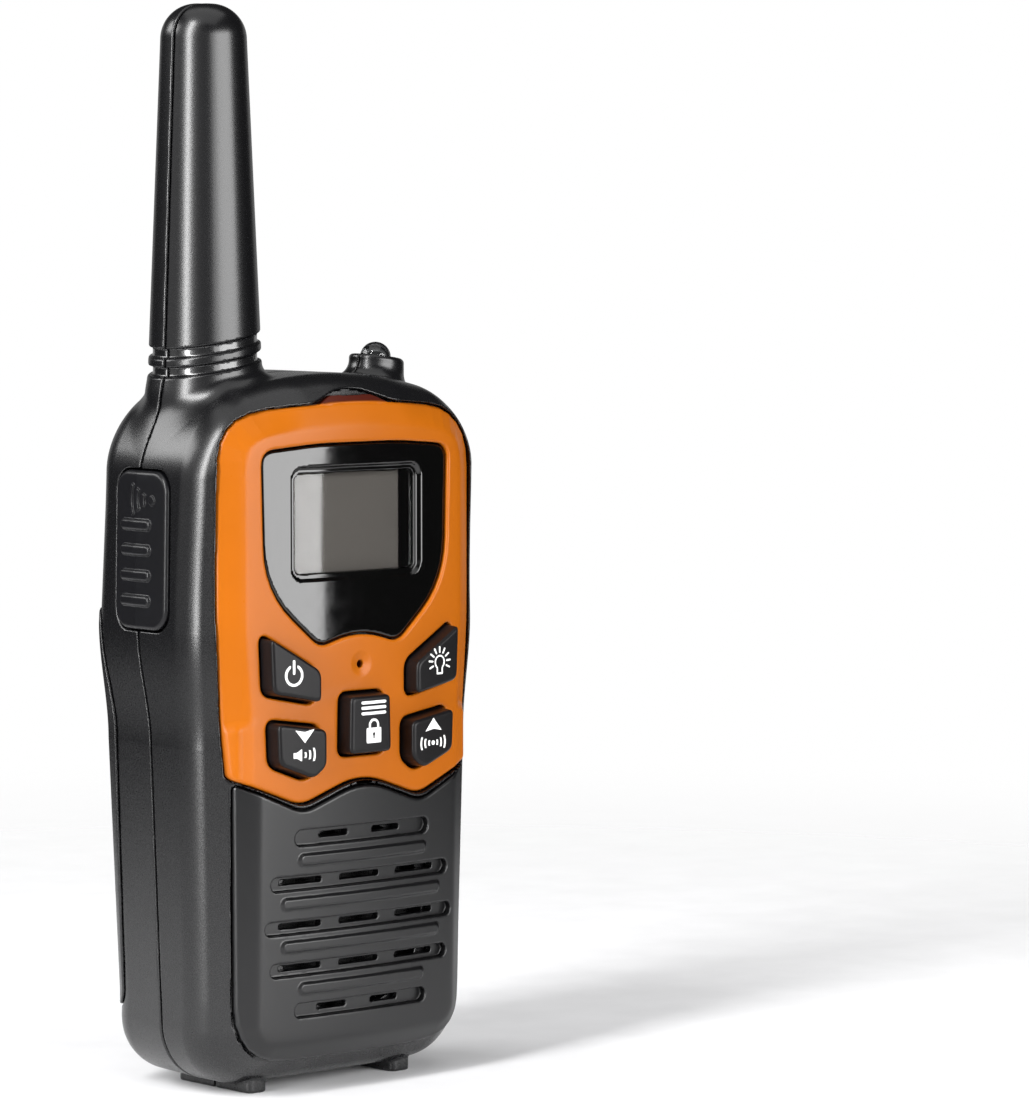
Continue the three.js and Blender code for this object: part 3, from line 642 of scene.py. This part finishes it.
def padlock_mark(a, b):
    case = rounded_rectangle(a, b + 0.65, 1.5, 1.2, 0.2)
    shackle = np.maximum(np.abs(np.hypot(a, b - 0.95) - 0.85) - 0.2, 0.9 - b)
    legs = np.maximum(np.abs(np.abs(a) - 0.85) - 0.2, between(b, 0.3, 1.0))
    keyhole = np.minimum(np.hypot(a, b + 0.45) - 0.26, segment(a, b, (0, -0.5), (0, -1.05)) - 0.13)
    return union([cut(case, keyhole), shackle, legs])


def menu_mark(a, b):
    return union(segment(a, b, (-2.3, 0.85 * n), (2.3, 0.85 * n)) - 0.25 for n in (-1, 0, 1))


def waves(a, b):
    """Three arcs spreading to the right from the middle, as tall as the keys' small print."""
    arcs = []
    for radius in (0.95, 1.8, 2.65):
        arc = np.abs(np.hypot(a, b) - radius) - 0.18
        arcs.append(np.maximum(np.maximum(arc, np.abs(b) - 0.34 * radius - 0.12), -a))
    return union(arcs)


def listen_mark(a, b):
    """Loudspeaker and sound waves."""
    box = np.maximum(np.abs(a + 1.95) - 0.4, np.abs(b) - 0.45)
    horn = np.maximum(np.abs(a + 1.25) - 0.5, np.abs(b) - 0.45 - 0.55 * (a + 1.75))
    return union([box, horn, waves(a + 1.0, b)])


def scan_mark(a, b):
    """A point with waves to both sides."""
    return np.minimum(np.hypot(a, b) - 0.38, waves(np.abs(a), b))


KEY_MARKS = [
    ("power_symbol", "power_key", power_mark, (-15.2, 66.6)),
    ("light_symbol", "light_key", bulb_mark, (14.6, 66.5)),
    ("down_symbol", "monitor_key", lambda a, b: triangle(a, -b), (-13.2, 56.8)),
    ("listen_symbol", "monitor_key", listen_mark, (-13.0, 53.9)),
    ("up_symbol", "scan_key", triangle, (13.2, 56.8)),
    ("scan_symbol", "scan_key", scan_mark, (13.1, 53.9)),
    ("menu_symbol", "menu_key", menu_mark, (0.4, 60.4)),
    ("lock_symbol", "menu_key", padlock_mark, (0.4, 56.7)),
]


def printed(mark, place):
    """The mark as a thin film on the key's crowned top."""
    def field(x, y, z):
        film = between(y - key_top(x), -0.04, 0.1)
        return meet(mark(x - place[0], z - place[1]), film, 0.02)
    return field


# ---- Battery side ----
def cover_skin(x, y, z):
    form = body(x, y, z)
    return meet(form - COVER_PROUD, -(form + COVER_THICKNESS), 0.1)


def battery_cover(x, y, z):
    cover = meet(cover_skin(x, y, z), cover_zone(y, z), 0.35)
    pocket = meet(rounded_rectangle(x, z - LATCH_HEIGHT - 1.1, 6.3, 4.4, 0.8), LATCH_FRONT - y)
    cover = cut(cover, pocket, 0.25)
    for index in range(5):
        height = 62 + 2 * index
        groove = meet(segment(x, z, (-9, height), (9, height)) - 0.45, -(body(x, y, z) + 0.1))
        cover = cut(cover, groove, 0.15)
    return cover


def cover_latch(x, y, z):
    form = body(x, y, z)
    plate = meet(rounded_rectangle(x, z - LATCH_HEIGHT, 6, 3, 0.7), LATCH_FRONT - y)
    latch = meet(meet(plate, form - 0.3, 0.25), -(form + COVER_THICKNESS))
    for rise in (-1.5, 0, 1.5):
        height = LATCH_HEIGHT + rise
        ridge = segment(x, z, (-3.6, height), (3.6, height)) - 0.4
        grip = meet(meet(ridge, form - 0.85, 0.2), -(form + 1))
        latch = join(latch, meet(grip, LATCH_FRONT - y), 0.15)
    return latch


def along_cell(number, z):
    """Height above a cell's flat end. The middle cell stands upside down."""
    return CELL_HIGH - z if number == 2 else z - CELL_LOW


def from_cell(number, x, y):
    return np.hypot(x - (number - 2) * CELL_PITCH, y - CELL_Y)


def battery_cell(number):
    def field(x, y, z):
        across = from_cell(number, x, y)
        up = along_cell(number, z)
        can = meet(across - CELL_RADIUS, between(up, 0.1, 49.4), 0.9)
        can = cut(can, meet(between(up, 48.3, 48.6), 7.0 - across, 0.1), 0.15)
        rim = meet(between(across, 4.4, 5.4), up - 49.7, 0.3)
        can = join(can, meet(rim, 49 - up), 0.2)
        nub = meet(across - 2.7, between(up, 49, 50.5), 0.5)
        return join(can, nub, 0.3)
    return field


def cell_steel(number):
    """One on the exposed steel ends of a cell, zero on its printed sleeve."""
    def measure(x, y, z):
        flat_end = step(5.9, 5.7, from_cell(number, x, y))
        return np.maximum(flat_end, step(48.4, 48.5, along_cell(number, z)))
    return measure


def torch_cup(x, y, z):
    """Bright reflector round the foot of the lamp's dome."""
    across = from_lamp(x, y)
    wall = np.abs(across - 0.9 - 0.5 * (z - CUP_LOW)) * 0.9 - 0.12
    return meet(wall, between(z, CUP_LOW, 113.2), 0.05)


def torch_die(x, y, z):
    across = from_lamp(x, y)
    return meet(across - 0.75, between(z, 110.2, 111.1), 0.2)


def torch_lamp(x, y, z):
    across = from_lamp(x, y)
    column = meet(across - 2.45, between(z, 107.1, DOME_HEIGHT))
    dome = ball(x, y, z, (LAMP_X, LAMP_Y, DOME_HEIGHT), 2.5)
    flange = meet(across - 3, between(z, 107, 108.4), 0.2)
    return union([column, dome, flange])


def shell_screw(place_x, place_z):
    def field(x, y, z):
        across = np.hypot(x - place_x, z - place_z)
        shank = meet(across - 1.1, between(y, 13.4, 27.8), 0.3)
        head = meet(across - 2.4, between(y, 27.4, 28.9), 0.5)
        arms = np.minimum(
            rounded_rectangle(x - place_x, z - place_z, 1.5, 0.32, 0.1),
            rounded_rectangle(x - place_x, z - place_z, 0.32, 1.5, 0.1),
        )
        return cut(np.minimum(shank, head), meet(arms, 28.1 - y), 0.05)
    return field


# ---- Skins over fields ----
def new_object(name, data):
    thing = bpy.data.objects.new(name, data)
    bpy.context.scene.collection.objects.link(thing)
    return thing


def sample_axes(low, high, cell):
    axes = [np.arange(low[i], high[i] + cell, cell) for i in range(3)]
    return axes[0][:, None, None], axes[1][None, :, None], axes[2][None, None, :]


def net(field, low, high, cell):
    """Surface net: a vertex in each cell that the surface crosses, a quad over each crossed edge."""
    x, y, z = sample_axes(low, high, cell)
    shape = (x.shape[0], y.shape[1], z.shape[2])
    values = np.empty(shape, np.float32)
    for start in range(0, shape[2], SLAB):
        part = slice(start, start + SLAB)
        values[:, :, part] = field(x, y, z[:, :, part])
    inside = values < 0
    corners = [(i, j, k) for i in (0, 1) for j in (0, 1) for k in (0, 1)]

    def corner_view(array, corner):
        i, j, k = corner
        return array[i:shape[0] - 1 + i, j:shape[1] - 1 + j, k:shape[2] - 1 + k]

    total = sum(corner_view(inside, corner).astype(np.int8) for corner in corners)
    crossed = (total > 0) & (total < 8)
    cells = np.argwhere(crossed)
    index = np.full(crossed.shape, -1, np.int32)
    index[crossed] = np.arange(len(cells))
    at_corner = {c: values[cells[:, 0] + c[0], cells[:, 1] + c[1], cells[:, 2] + c[2]] for c in corners}
    places = np.zeros((len(cells), 3))
    crossings = np.zeros(len(cells))
    for first in corners:
        for axis in range(3):
            if first[axis] == 1:
                continue
            second = tuple(1 if n == axis else first[n] for n in range(3))
            a = at_corner[first]
            b = at_corner[second]
            changes = (a < 0) != (b < 0)
            share = np.where(changes, a / np.where(changes, a - b, 1), 0)
            place = np.tile(np.array(first, float), (len(cells), 1))
            place[:, axis] += share
            places += place * changes[:, None]
            crossings += changes
    points = (cells + places / crossings[:, None]) * cell + np.array(low)
    return points, net_quads(inside, index)


def net_quads(inside, index):
    quads = []
    for axis in range(3):
        one, two = [n for n in range(3) if n != axis]
        before = np.take(inside, range(inside.shape[axis] - 1), axis)
        after = np.take(inside, range(1, inside.shape[axis]), axis)
        edges = np.argwhere(before != after)
        limit = np.array(index.shape)
        keep = (edges[:, one] > 0) & (edges[:, two] > 0)
        keep &= (edges[:, one] < limit[one]) & (edges[:, two] < limit[two])
        edges = edges[keep]
        ring = []
        for back_one, back_two in ((1, 1), (0, 1), (0, 0), (1, 0)):
            place = edges.copy()
            place[:, one] -= back_one
            place[:, two] -= back_two
            ring.append(index[place[:, 0], place[:, 1], place[:, 2]])
        quad = np.stack(ring, axis=1)
        leaving = before[edges[:, 0], edges[:, 1], edges[:, 2]]
        turned = leaving if axis != 1 else ~leaving
        quad[~turned] = quad[~turned][:, ::-1]
        quads.append(quad)
    return np.concatenate(quads)


def slope_of(field, points):
    """How fast the field grows along each axis."""
    reach = 0.03
    slopes = []
    for axis in range(3):
        ahead = points.copy()
        behind = points.copy()
        ahead[:, axis] += reach
        behind[:, axis] -= reach
        slopes.append((field(*ahead.T) - field(*behind.T)) / (2 * reach))
    return np.stack(slopes, axis=1)


def settle(field, points, furthest):
    """Points moved onto the surface in two rounds, and the surface's normal at each."""
    for _ in range(2):
        slope = slope_of(field, points)
        size = np.maximum((slope ** 2).sum(axis=1), 0.05)
        move = -slope * (field(*points.T) / size)[:, None]
        length = np.linalg.norm(move, axis=1)
        move *= np.minimum(1, furthest / np.maximum(length, 1e-9))[:, None]
        points = points + move
    slope = slope_of(field, points)
    length = np.maximum(np.linalg.norm(slope, axis=1), 1e-6)
    return points, slope / length[:, None]


def mesh_of(name, points, quads):
    mesh = bpy.data.meshes.new(name)
    mesh.vertices.add(len(points))
    mesh.vertices.foreach_set("co", points.astype(np.float32).ravel())
    mesh.loops.add(quads.size)
    mesh.loops.foreach_set("vertex_index", quads.astype(np.int32).ravel())
    mesh.polygons.add(len(quads))
    mesh.polygons.foreach_set("loop_start", np.arange(0, quads.size, quads.shape[1], dtype=np.int32))
    mesh.update(calc_edges=True)
    return mesh


def thinned(mesh, share):
    """A copy of the mesh with fewer faces where it is flat."""
    rough = new_object("rough", mesh)
    modifier = rough.modifiers.new("thin", "DECIMATE")
    modifier.ratio = share
    evaluated = rough.evaluated_get(bpy.context.evaluated_depsgraph_get())
    result = bpy.data.meshes.new_from_object(evaluated)
    bpy.data.objects.remove(rough)
    return result


def skin(name, field, span, cell, share=1.0, traits=None):
    """A smooth mesh object over a field, placed in the frame."""
    low, high = span
    points, quads = net(field, low, high, cell)
    mesh = mesh_of(name, points, quads)
    if share < 1:
        mesh = thinned(mesh, share)
        mesh.name = name
    points = np.empty(len(mesh.vertices) * 3, np.float32)
    mesh.vertices.foreach_get("co", points)
    points, normals = settle(field, points.reshape(-1, 3).astype(float), cell * 0.6)
    for trait, measure in (traits or {}).items():
        attribute = mesh.attributes.new(trait, "FLOAT", "POINT")
        attribute.data.foreach_set("value", measure(*points.T).astype(np.float32))
    placed = (points + ORIGIN) * MM
    mesh.vertices.foreach_set("co", placed.astype(np.float32).ravel())
    mesh.update()
    mesh.shade_smooth()
    mesh.normals_split_custom_set_from_vertices(normals.astype(np.float32))
    return new_object(name, mesh)


def span_of(node):
    """The CAD node's box in the radio's own axes, with room for a skin to stand out of it."""
    margin = 0.9
    low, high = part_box(node)
    return np.array(low) / MM - ORIGIN - margin, np.array(high) / MM - ORIGIN + margin


def piece(node, field, material, cell, body_name="radio", share=1.0, traits=None):
    """A detailed piece that stands for a CAD node."""
    thing = skin(node + "_piece", field, span_of(node), cell * COARSE, share, traits)
    thing.data.materials.append(material)
    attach(thing, body_name)
    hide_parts(node)
    return thing


def trim(name, field, span, material, cell, body_name="radio"):
    """A detailed piece with no CAD node of its own."""
    thing = skin(name, field, span, cell * COARSE)
    thing.data.materials.append(material)
    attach(thing, body_name)
    return thing


# ---- Materials ----
def new_material(name):
    material = bpy.data.materials.new(name)
    material.use_nodes = True
    tree = material.node_tree
    tree.nodes.clear()
    return material, tree, new_node(tree, "OutputMaterial")


def new_node(tree, kind, values=None):
    """A shader node of this kind, with these values at its inputs."""
    node = tree.nodes.new("ShaderNode" + kind)
    for name, value in (values or {}).items():
        node.inputs[name].default_value = value
    return node


def object_place(tree):
    """Places in the object's own axes, for a texture."""
    return new_node(tree, "TexCoord").outputs["Object"]


def noise(tree, grain, detail=2.0):
    """Noise whose spots are about this many millimetres across."""
    texture = new_node(tree, "TexNoise", {"Scale": 1 / (grain * MM), "Detail": detail})
    tree.links.new(object_place(tree), texture.inputs["Vector"])
    return texture.outputs["Fac"]


def ranged(tree, value, low, high):
    """The value, which runs from 0 to 1, stretched to run from low to high."""
    stretch = new_node(tree, "MapRange", {"To Min": low, "To Max": high})
    tree.links.new(value, stretch.inputs["Value"])
    return stretch.outputs["Result"]


def mixed_colour(tree, share, first, second):
    mix = new_node(tree, "Mix")
    mix.data_type = "RGBA"
    mix.inputs["A"].default_value = (*first, 1)
    mix.inputs["B"].default_value = (*second, 1)
    tree.links.new(share, mix.inputs["Factor"])
    return mix.outputs["Result"]


def bumped(tree, shader, height, depth):
    bump = new_node(tree, "Bump", {"Distance": depth * MM, "Strength": 1})
    tree.links.new(height, bump.inputs["Height"])
    tree.links.new(bump.outputs["Normal"], shader.inputs["Normal"])


def shade(colour, factor):
    return tuple(min(1, channel * factor) for channel in colour)


def principled(material):
    return next(n for n in material.node_tree.nodes if n.type == "BSDF_PRINCIPLED")


def trait_value(tree, trait):
    """The mesh's own number of this name, from 0 to 1."""
    attribute = new_node(tree, "Attribute")
    attribute.attribute_name = trait
    return attribute.outputs["Fac"]


def moulded(name, colour, roughness, grain, depth, coat=0.0, metallic=0.0, specular=0.5):
    """Moulded plastic, rubber or plated metal with a fine surface grain and slight mottling."""
    material, tree, output = new_material(name)
    shader = new_node(tree, "BsdfPrincipled", {
        "Metallic": metallic, "Specular IOR Level": specular, "Coat Weight": coat, "Coat Roughness": 0.12,
    })
    tree.links.new(shader.outputs["BSDF"], output.inputs["Surface"])
    fine = noise(tree, grain)
    broad = noise(tree, 14, 3)
    tint = mixed_colour(tree, broad, shade(colour, 0.92), shade(colour, 1.08))
    tree.links.new(tint, shader.inputs["Base Color"])
    tree.links.new(ranged(tree, fine, roughness - 0.05, roughness + 0.05), shader.inputs["Roughness"])
    bumped(tree, shader, fine, depth)
    return material


def trait_mix(material, trait, socket, plain, full):
    """Makes a number of the shader run from plain to full where the mesh's trait runs from 0 to 1."""
    tree = material.node_tree
    share = ranged(tree, trait_value(tree, trait), plain, full)
    tree.links.new(share, principled(material).inputs[socket])


def trait_colour(material, trait, full):
    """Makes the base colour run to full where the mesh's trait runs from 0 to 1."""
    tree = material.node_tree
    base = principled(material).inputs["Base Color"]
    plain = base.links[0].from_socket
    mixed = mixed_colour(tree, trait_value(tree, trait), full, full)
    tree.links.new(plain, mixed.node.inputs["A"])
    tree.links.new(mixed, base)


def clear_pane(name):
    """Thin clear plastic: seen straight through, with a mirror-like reflection by angle."""
    material, tree, output = new_material(name)
    through = new_node(tree, "BsdfTransparent", {"Color": (1, 1, 1, 1)})
    mirror = new_node(tree, "BsdfGlossy")
    smudge = ranged(tree, noise(tree, 9, 3), 0.02, 0.06)
    tree.links.new(smudge, mirror.inputs["Roughness"])
    fresnel = new_node(tree, "Fresnel", {"IOR": 1.34})
    mix = new_node(tree, "MixShader")
    tree.links.new(fresnel.outputs["Fac"], mix.inputs["Fac"])
    tree.links.new(through.outputs["BSDF"], mix.inputs[1])
    tree.links.new(mirror.outputs["BSDF"], mix.inputs[2])
    tree.links.new(mix.outputs["Shader"], output.inputs["Surface"])
    return material


charcoal = moulded("charcoal_plastic", (0.003, 0.003, 0.0036), 0.27, 0.22, 0.007, specular=0.6)
panel_plastic = moulded("panel_plastic", (0.003, 0.003, 0.0034), 0.31, 0.25, 0.0025)
orange = moulded("orange_plastic", (0.37, 0.094, 0.003), 0.3, 0.5, 0.002, specular=0.2)
lens_black = moulded("lens_black", (0.001, 0.001, 0.001), 0.07, 2.0, 0.0004, specular=0.65)
key_grey = moulded("key_grey", (0.005, 0.0045, 0.005), 0.34, 0.3, 0.004, specular=0.22)
talk_rubber = moulded("talk_rubber", (0.003, 0.003, 0.004), 0.34, 0.2, 0.005, specular=0.35)
legend_white = moulded("legend_white", (0.85, 0.85, 0.84), 0.5, 0.2, 0.001)
lcd_grey = moulded("lcd_glass", (0.085, 0.078, 0.070), 0.5, 1.5, 0.0005, specular=0.1)
mask_black = moulded("mask_black", (0.006, 0.006, 0.006), 0.4, 0.3, 0.002)
pane_clear = clear_pane("pane_clear")
lamp_clear = moulded("lamp_clear", (0.9, 0.93, 0.95), 0.03, 3.0, 0.001)
principled(lamp_clear).inputs["Transmission Weight"].default_value = 1.0
principled(lamp_clear).inputs["IOR"].default_value = 1.49
screw_steel = moulded("screw_steel", (0.40, 0.40, 0.41), 0.35, 0.4, 0.003, metallic=1.0)


def woven(name, colour, pitch):
    """Cloth of crossing threads, pitch millimetres apart."""
    material = moulded(name, colour, 0.85, 0.1, 0.01)
    tree = material.node_tree
    shader = principled(material)
    higher = new_node(tree, "Math")
    higher.operation = "MAXIMUM"
    for number, direction in enumerate(("X", "Z")):
        tree.links.new(banded(tree, direction, pitch), higher.inputs[number])
    tint = mixed_colour(tree, higher.outputs["Value"], shade(colour, 0.3), shade(colour, 1.3))
    tree.links.new(tint, shader.inputs["Base Color"])
    bumped(tree, shader, higher.outputs["Value"], 0.12)
    return material


def banded(tree, direction, pitch):
    """Smooth stripes across one direction of the object, pitch millimetres apart."""
    wave = new_node(tree, "TexWave", {"Scale": math.pi / 10 / (pitch * MM)})
    wave.bands_direction = direction
    tree.links.new(object_place(tree), wave.inputs["Vector"])
    return wave.outputs["Fac"]


def striped(name, first, second, direction, pitch, roughness, metallic=0.0):
    """Stripes of two colours, raised a little. On a layered strip they are its layers; on wound wire the
    darker stripes are painted shade between the turns.
    """
    material = moulded(name, first, roughness, 0.3, 0.004, metallic=metallic)
    tree = material.node_tree
    shader = principled(material)
    stripes = banded(tree, direction, pitch)
    tree.links.new(mixed_colour(tree, stripes, second, first), shader.inputs["Base Color"])
    bumped(tree, shader, stripes, 0.1 * pitch)
    return material


def circuit_board(name):
    """Green lacquer over copper tracks, with the plain board showing as darker cells."""
    material = moulded(name, (0.012, 0.11, 0.04), 0.3, 0.3, 0.003, coat=0.4)
    tree = material.node_tree
    tracks = new_node(tree, "TexBrick", {
        "Scale": 1 / (6 * MM), "Color1": (0.010, 0.09, 0.03, 1), "Color2": (0.014, 0.13, 0.045, 1),
        "Mortar": (0.05, 0.24, 0.08, 1), "Mortar Size": 0.06,
    })
    turn = new_node(tree, "Mapping", {"Rotation": (math.pi / 2, 0, 0)})
    tree.links.new(object_place(tree), turn.inputs["Vector"])
    tree.links.new(turn.outputs["Vector"], tracks.inputs["Vector"])
    tree.links.new(tracks.outputs["Color"], principled(material).inputs["Base Color"])
    return material


def finish_nodes(material, *nodes):
    """Gives CAD nodes that keep their own shape a finished material."""
    for node in nodes:
        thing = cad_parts[node]
        for place in thing.material_slots:
            place.material = material


# ---- Building the pieces ----
def groove_shine(x, y, z):
    """One on the floor of the grooves round the antenna's root, zero elsewhere."""
    across = from_antenna(x, y)
    near = np.zeros_like(across)
    for height in GROOVES:
        rise = np.abs(z - height - GROOVE_LEAN * (x - ANTENNA_X))
        near = np.maximum(near, 1 - step(0.55, 0.8, rise))
    return near * (1 - step(8.5, 8.7, across))


shine = {"shine": groove_shine}
trait_mix(charcoal, "shine", "Coat Weight", 0.0, 1.0)
# The bezel's sides and tab are given a dark maroon colour as painted shade.
trait_colour(orange, "side_shade", (0.055, 0.008, 0.004))
piece("front_shell", front_shell, charcoal, 0.3, share=0.4, traits=shine)
piece("rear_shell", rear_shell, charcoal, 0.36, share=0.5, traits=shine)
piece("bezel_frame", bezel_frame, orange, 0.25, traits={"side_shade": painted_side_shade})
piece("display_lens", display_lens, lens_black, 0.25)
piece("lcd_panel", lcd_panel, lcd_grey, 0.4)
trim("lcd_mask", lcd_mask, span_of("lcd_panel"), mask_black, 0.25)
trim("display_pane", display_pane, span_of("display_lens"), pane_clear, 0.25)
piece("speaker_grille", speaker_grille, panel_plastic, 0.25)
piece("talk_button", talk_button, talk_rubber, 0.2, "talk_button")
piece("battery_cover", battery_cover, charcoal, 0.3, "battery_cover")
piece("cover_latch", cover_latch, charcoal, 0.2, "cover_latch")
piece("torch_lamp", torch_lamp, lamp_clear, 0.2)
trim("torch_cup", torch_cup, span_of("torch_lamp"), screw_steel, 0.15)
trim("torch_die", torch_die, span_of("torch_lamp"), legend_white, 0.15)
for node, outline in KEY_OUTLINES.items():
    piece(node, key(outline), key_grey, 0.2, node)
MARK_REACH = np.array([3.6, 0.5, 3.0])
for name, body_name, mark, place in KEY_MARKS:
    middle = np.array([place[0], key_top(place[0]), place[1]])
    span = (middle - MARK_REACH, middle + MARK_REACH)
    trim(name, printed(mark, place), span, legend_white, 0.1, body_name)
for number, (place_x, place_z) in enumerate(SCREW_PLACES, start=1):
    piece(f"shell_screw_{number}", shell_screw(place_x, place_z), screw_steel, 0.15)


rubber = moulded("boot_rubber", (0.014, 0.014, 0.014), 0.65, 0.3, 0.008)
bright_steel = moulded("pressed_steel", (0.55, 0.55, 0.56), 0.28, 0.5, 0.003, metallic=1.0)
magnet_steel = moulded("ferrite_steel", (0.20, 0.20, 0.21), 0.5, 0.3, 0.006, metallic=1.0)
contact_steel = moulded("plated_contact", (0.66, 0.64, 0.60), 0.25, 0.6, 0.002, metallic=1.0)
board = circuit_board("lacquered_board")
chip_case = moulded("chip_case", (0.012, 0.012, 0.012), 0.5, 0.12, 0.003)
zebra = striped("zebra_strip", (0.012, 0.012, 0.012), (0.10, 0.10, 0.11), "X", 0.4, 0.6)
# The coil's darker stripes are painted shade between the turns of wire.
copper = striped("wound_copper", (0.85, 0.36, 0.16), (0.25, 0.08, 0.03), "Z", 0.8, 0.25, 1.0)
finish_nodes(moulded("light_guide", (0.82, 0.83, 0.80), 0.5, 0.4, 0.002), "lcd_backlight")
finish_nodes(moulded("nylon_core", (0.70, 0.66, 0.55), 0.45, 0.4, 0.004), "antenna_core")
finish_nodes(moulded("cone_film", (0.035, 0.035, 0.04), 0.3, 0.8, 0.006), "speaker_cone")
finish_nodes(woven("speaker_cloth", (0.03, 0.03, 0.03), 0.5), "grille_cloth")
finish_nodes(rubber, "keypad_membrane", "microphone_boot")
finish_nodes(zebra, "lcd_connector")
finish_nodes(bright_steel, "microphone", "speaker_basket", "radio_shield")
finish_nodes(magnet_steel, "speaker_magnet")
finish_nodes(board, "main_board", "lamp_board")
finish_nodes(chip_case, "control_chip", "talk_switch")
finish_nodes(copper, "antenna_coil")
finish_nodes(contact_steel, "contact_plate_upper", "contact_plate_lower")
finish_nodes(contact_steel, *(f"contact_spring_{number}" for number in (1, 2, 3)))

cell_wrap = moulded("cell_wrap", (0.012, 0.05, 0.10), 0.3, 0.5, 0.002, coat=0.3)
trait_colour(cell_wrap, "steel", (0.62, 0.62, 0.62))
trait_mix(cell_wrap, "steel", "Metallic", 0.0, 1.0)
for number in (1, 2, 3):
    node = f"battery_cell_{number}"
    piece(node, battery_cell(number), cell_wrap, 0.3, traits={"steel": cell_steel(number)})


# ---- Stage, lights and camera ----
VIEW_TURN = math.radians(42.09)
VIEW_TILT = math.radians(4.126)
OBJECT_IN_VIEW = (-24.0, 783.6, -31.3)
AIM_HEIGHT = 53.1
FOCAL_PIXELS = 5000
IMAGE_HEIGHT = 1106
SENSOR = 36

right = Vector((math.cos(VIEW_TURN), -math.sin(VIEW_TURN), 0))
level_away = Vector((math.sin(VIEW_TURN), math.cos(VIEW_TURN), 0))
away = level_away * math.cos(VIEW_TILT) + Vector((0, 0, -math.sin(VIEW_TILT)))
up = right.cross(away)
aim = Vector((ORIGIN[0] * MM, ORIGIN[1] * MM, AIM_HEIGHT * MM))
middle_of_radio = aim + Vector((0, 17 * MM, 20 * MM))


def seen_from(rightward, toward, upward):
    """A place in metres to the viewer's right, towards the viewer and up from the radio's middle."""
    return middle_of_radio + right * rightward - level_away * toward + Vector((0, 0, upward))


def add_camera():
    data = bpy.data.cameras.new("camera")
    data.sensor_width = SENSOR
    data.lens = FOCAL_PIXELS / IMAGE_HEIGHT * SENSOR
    camera = new_object("camera", data)
    offset = right * OBJECT_IN_VIEW[0] + away * OBJECT_IN_VIEW[1] + up * OBJECT_IN_VIEW[2]
    turn = Matrix((right, up, -away)).transposed().to_4x4()
    camera.matrix_world = Matrix.Translation(aim - offset * MM) @ turn
    bpy.context.scene.camera = camera


def add_softbox(name, bearing, distance, height, size, radiance):
    """A rectangular light. Its bearing is in degrees to the viewer's right, round the radio."""
    data = bpy.data.lights.new(name, "AREA")
    data.shape = "RECTANGLE"
    data.size = size[0]
    data.size_y = size[1]
    data.energy = radiance * math.pi * size[0] * size[1]
    lamp = new_object(name, data)
    angle = math.radians(bearing)
    lamp.location = seen_from(distance * math.sin(angle), distance * math.cos(angle), height)
    facing = seen_from(0, 0, 0) - lamp.location
    lamp.rotation_euler = facing.to_track_quat("-Z", "Y").to_euler()


def floor_paper():
    """White paper near the radio, which fades into the white background further out."""
    material = moulded("floor_paper", (0.88, 0.88, 0.89), 0.7, 0.6, 0.0002)
    tree = material.node_tree
    shader = principled(material)
    output = next(n for n in tree.nodes if n.type == "OUTPUT_MATERIAL")
    distance = new_node(tree, "VectorMath")
    distance.operation = "LENGTH"
    tree.links.new(object_place(tree), distance.inputs[0])
    fade = new_node(tree, "MapRange", {"From Min": 0.06, "From Max": 0.45})
    fade.interpolation_type = "SMOOTHSTEP"
    tree.links.new(distance.outputs["Value"], fade.inputs["Value"])
    through = new_node(tree, "BsdfTransparent")
    mix = new_node(tree, "MixShader")
    tree.links.new(fade.outputs["Result"], mix.inputs["Fac"])
    tree.links.new(shader.outputs["BSDF"], mix.inputs[1])
    tree.links.new(through.outputs["BSDF"], mix.inputs[2])
    tree.links.new(mix.outputs["Shader"], output.inputs["Surface"])
    return material


def add_floor():
    mesh = bpy.data.meshes.new("floor")
    reach = 0.5
    corners = [(-reach, -reach, 0), (reach, -reach, 0), (reach, reach, 0), (-reach, reach, 0)]
    mesh.from_pydata(corners, [], [(0, 1, 2, 3)])
    mesh.materials.append(floor_paper())
    new_object("floor", mesh)


def add_world():
    """White to the camera, dim to everything else, so that the softboxes shape the dark plastic."""
    world = bpy.data.worlds.new("studio")
    world.use_nodes = True
    tree = world.node_tree
    background = tree.nodes["Background"]
    background.inputs["Color"].default_value = (1, 1, 1, 1)
    path = new_node(tree, "LightPath")
    tree.links.new(ranged(tree, path.outputs["Is Camera Ray"], 0.03, 1.0), background.inputs["Strength"])
    bpy.context.scene.world = world
    bpy.context.scene.view_settings.view_transform = "Standard"


add_camera()
add_floor()
add_world()
add_softbox("left_strip", -36, 0.8, 0.38, (0.18, 1.1), 24)
add_softbox("right_box", 55.8, 0.9, 0.16, (0.72, 0.56), 7.8)
add_softbox("right_edge", 28, 0.95, 0.16, (0.2, 0.5), 4.0)
add_softbox("front_fill", -5, 1.1, 0.3, (0.7, 0.6), 0.3)
add_softbox("left_fill", -75, 0.9, 0.2, (0.45, 0.6), 0.5)
add_softbox("shoulder_box", -95, 0.9, 0.5, (0.7, 0.36), 6.5)
add_softbox("top_box", 0, 0.1, 1.0, (1.2, 1.2), 0.95)
add_softbox("back_box", 180, 1.2, 0.15, (1.8, 0.5), 0.38)
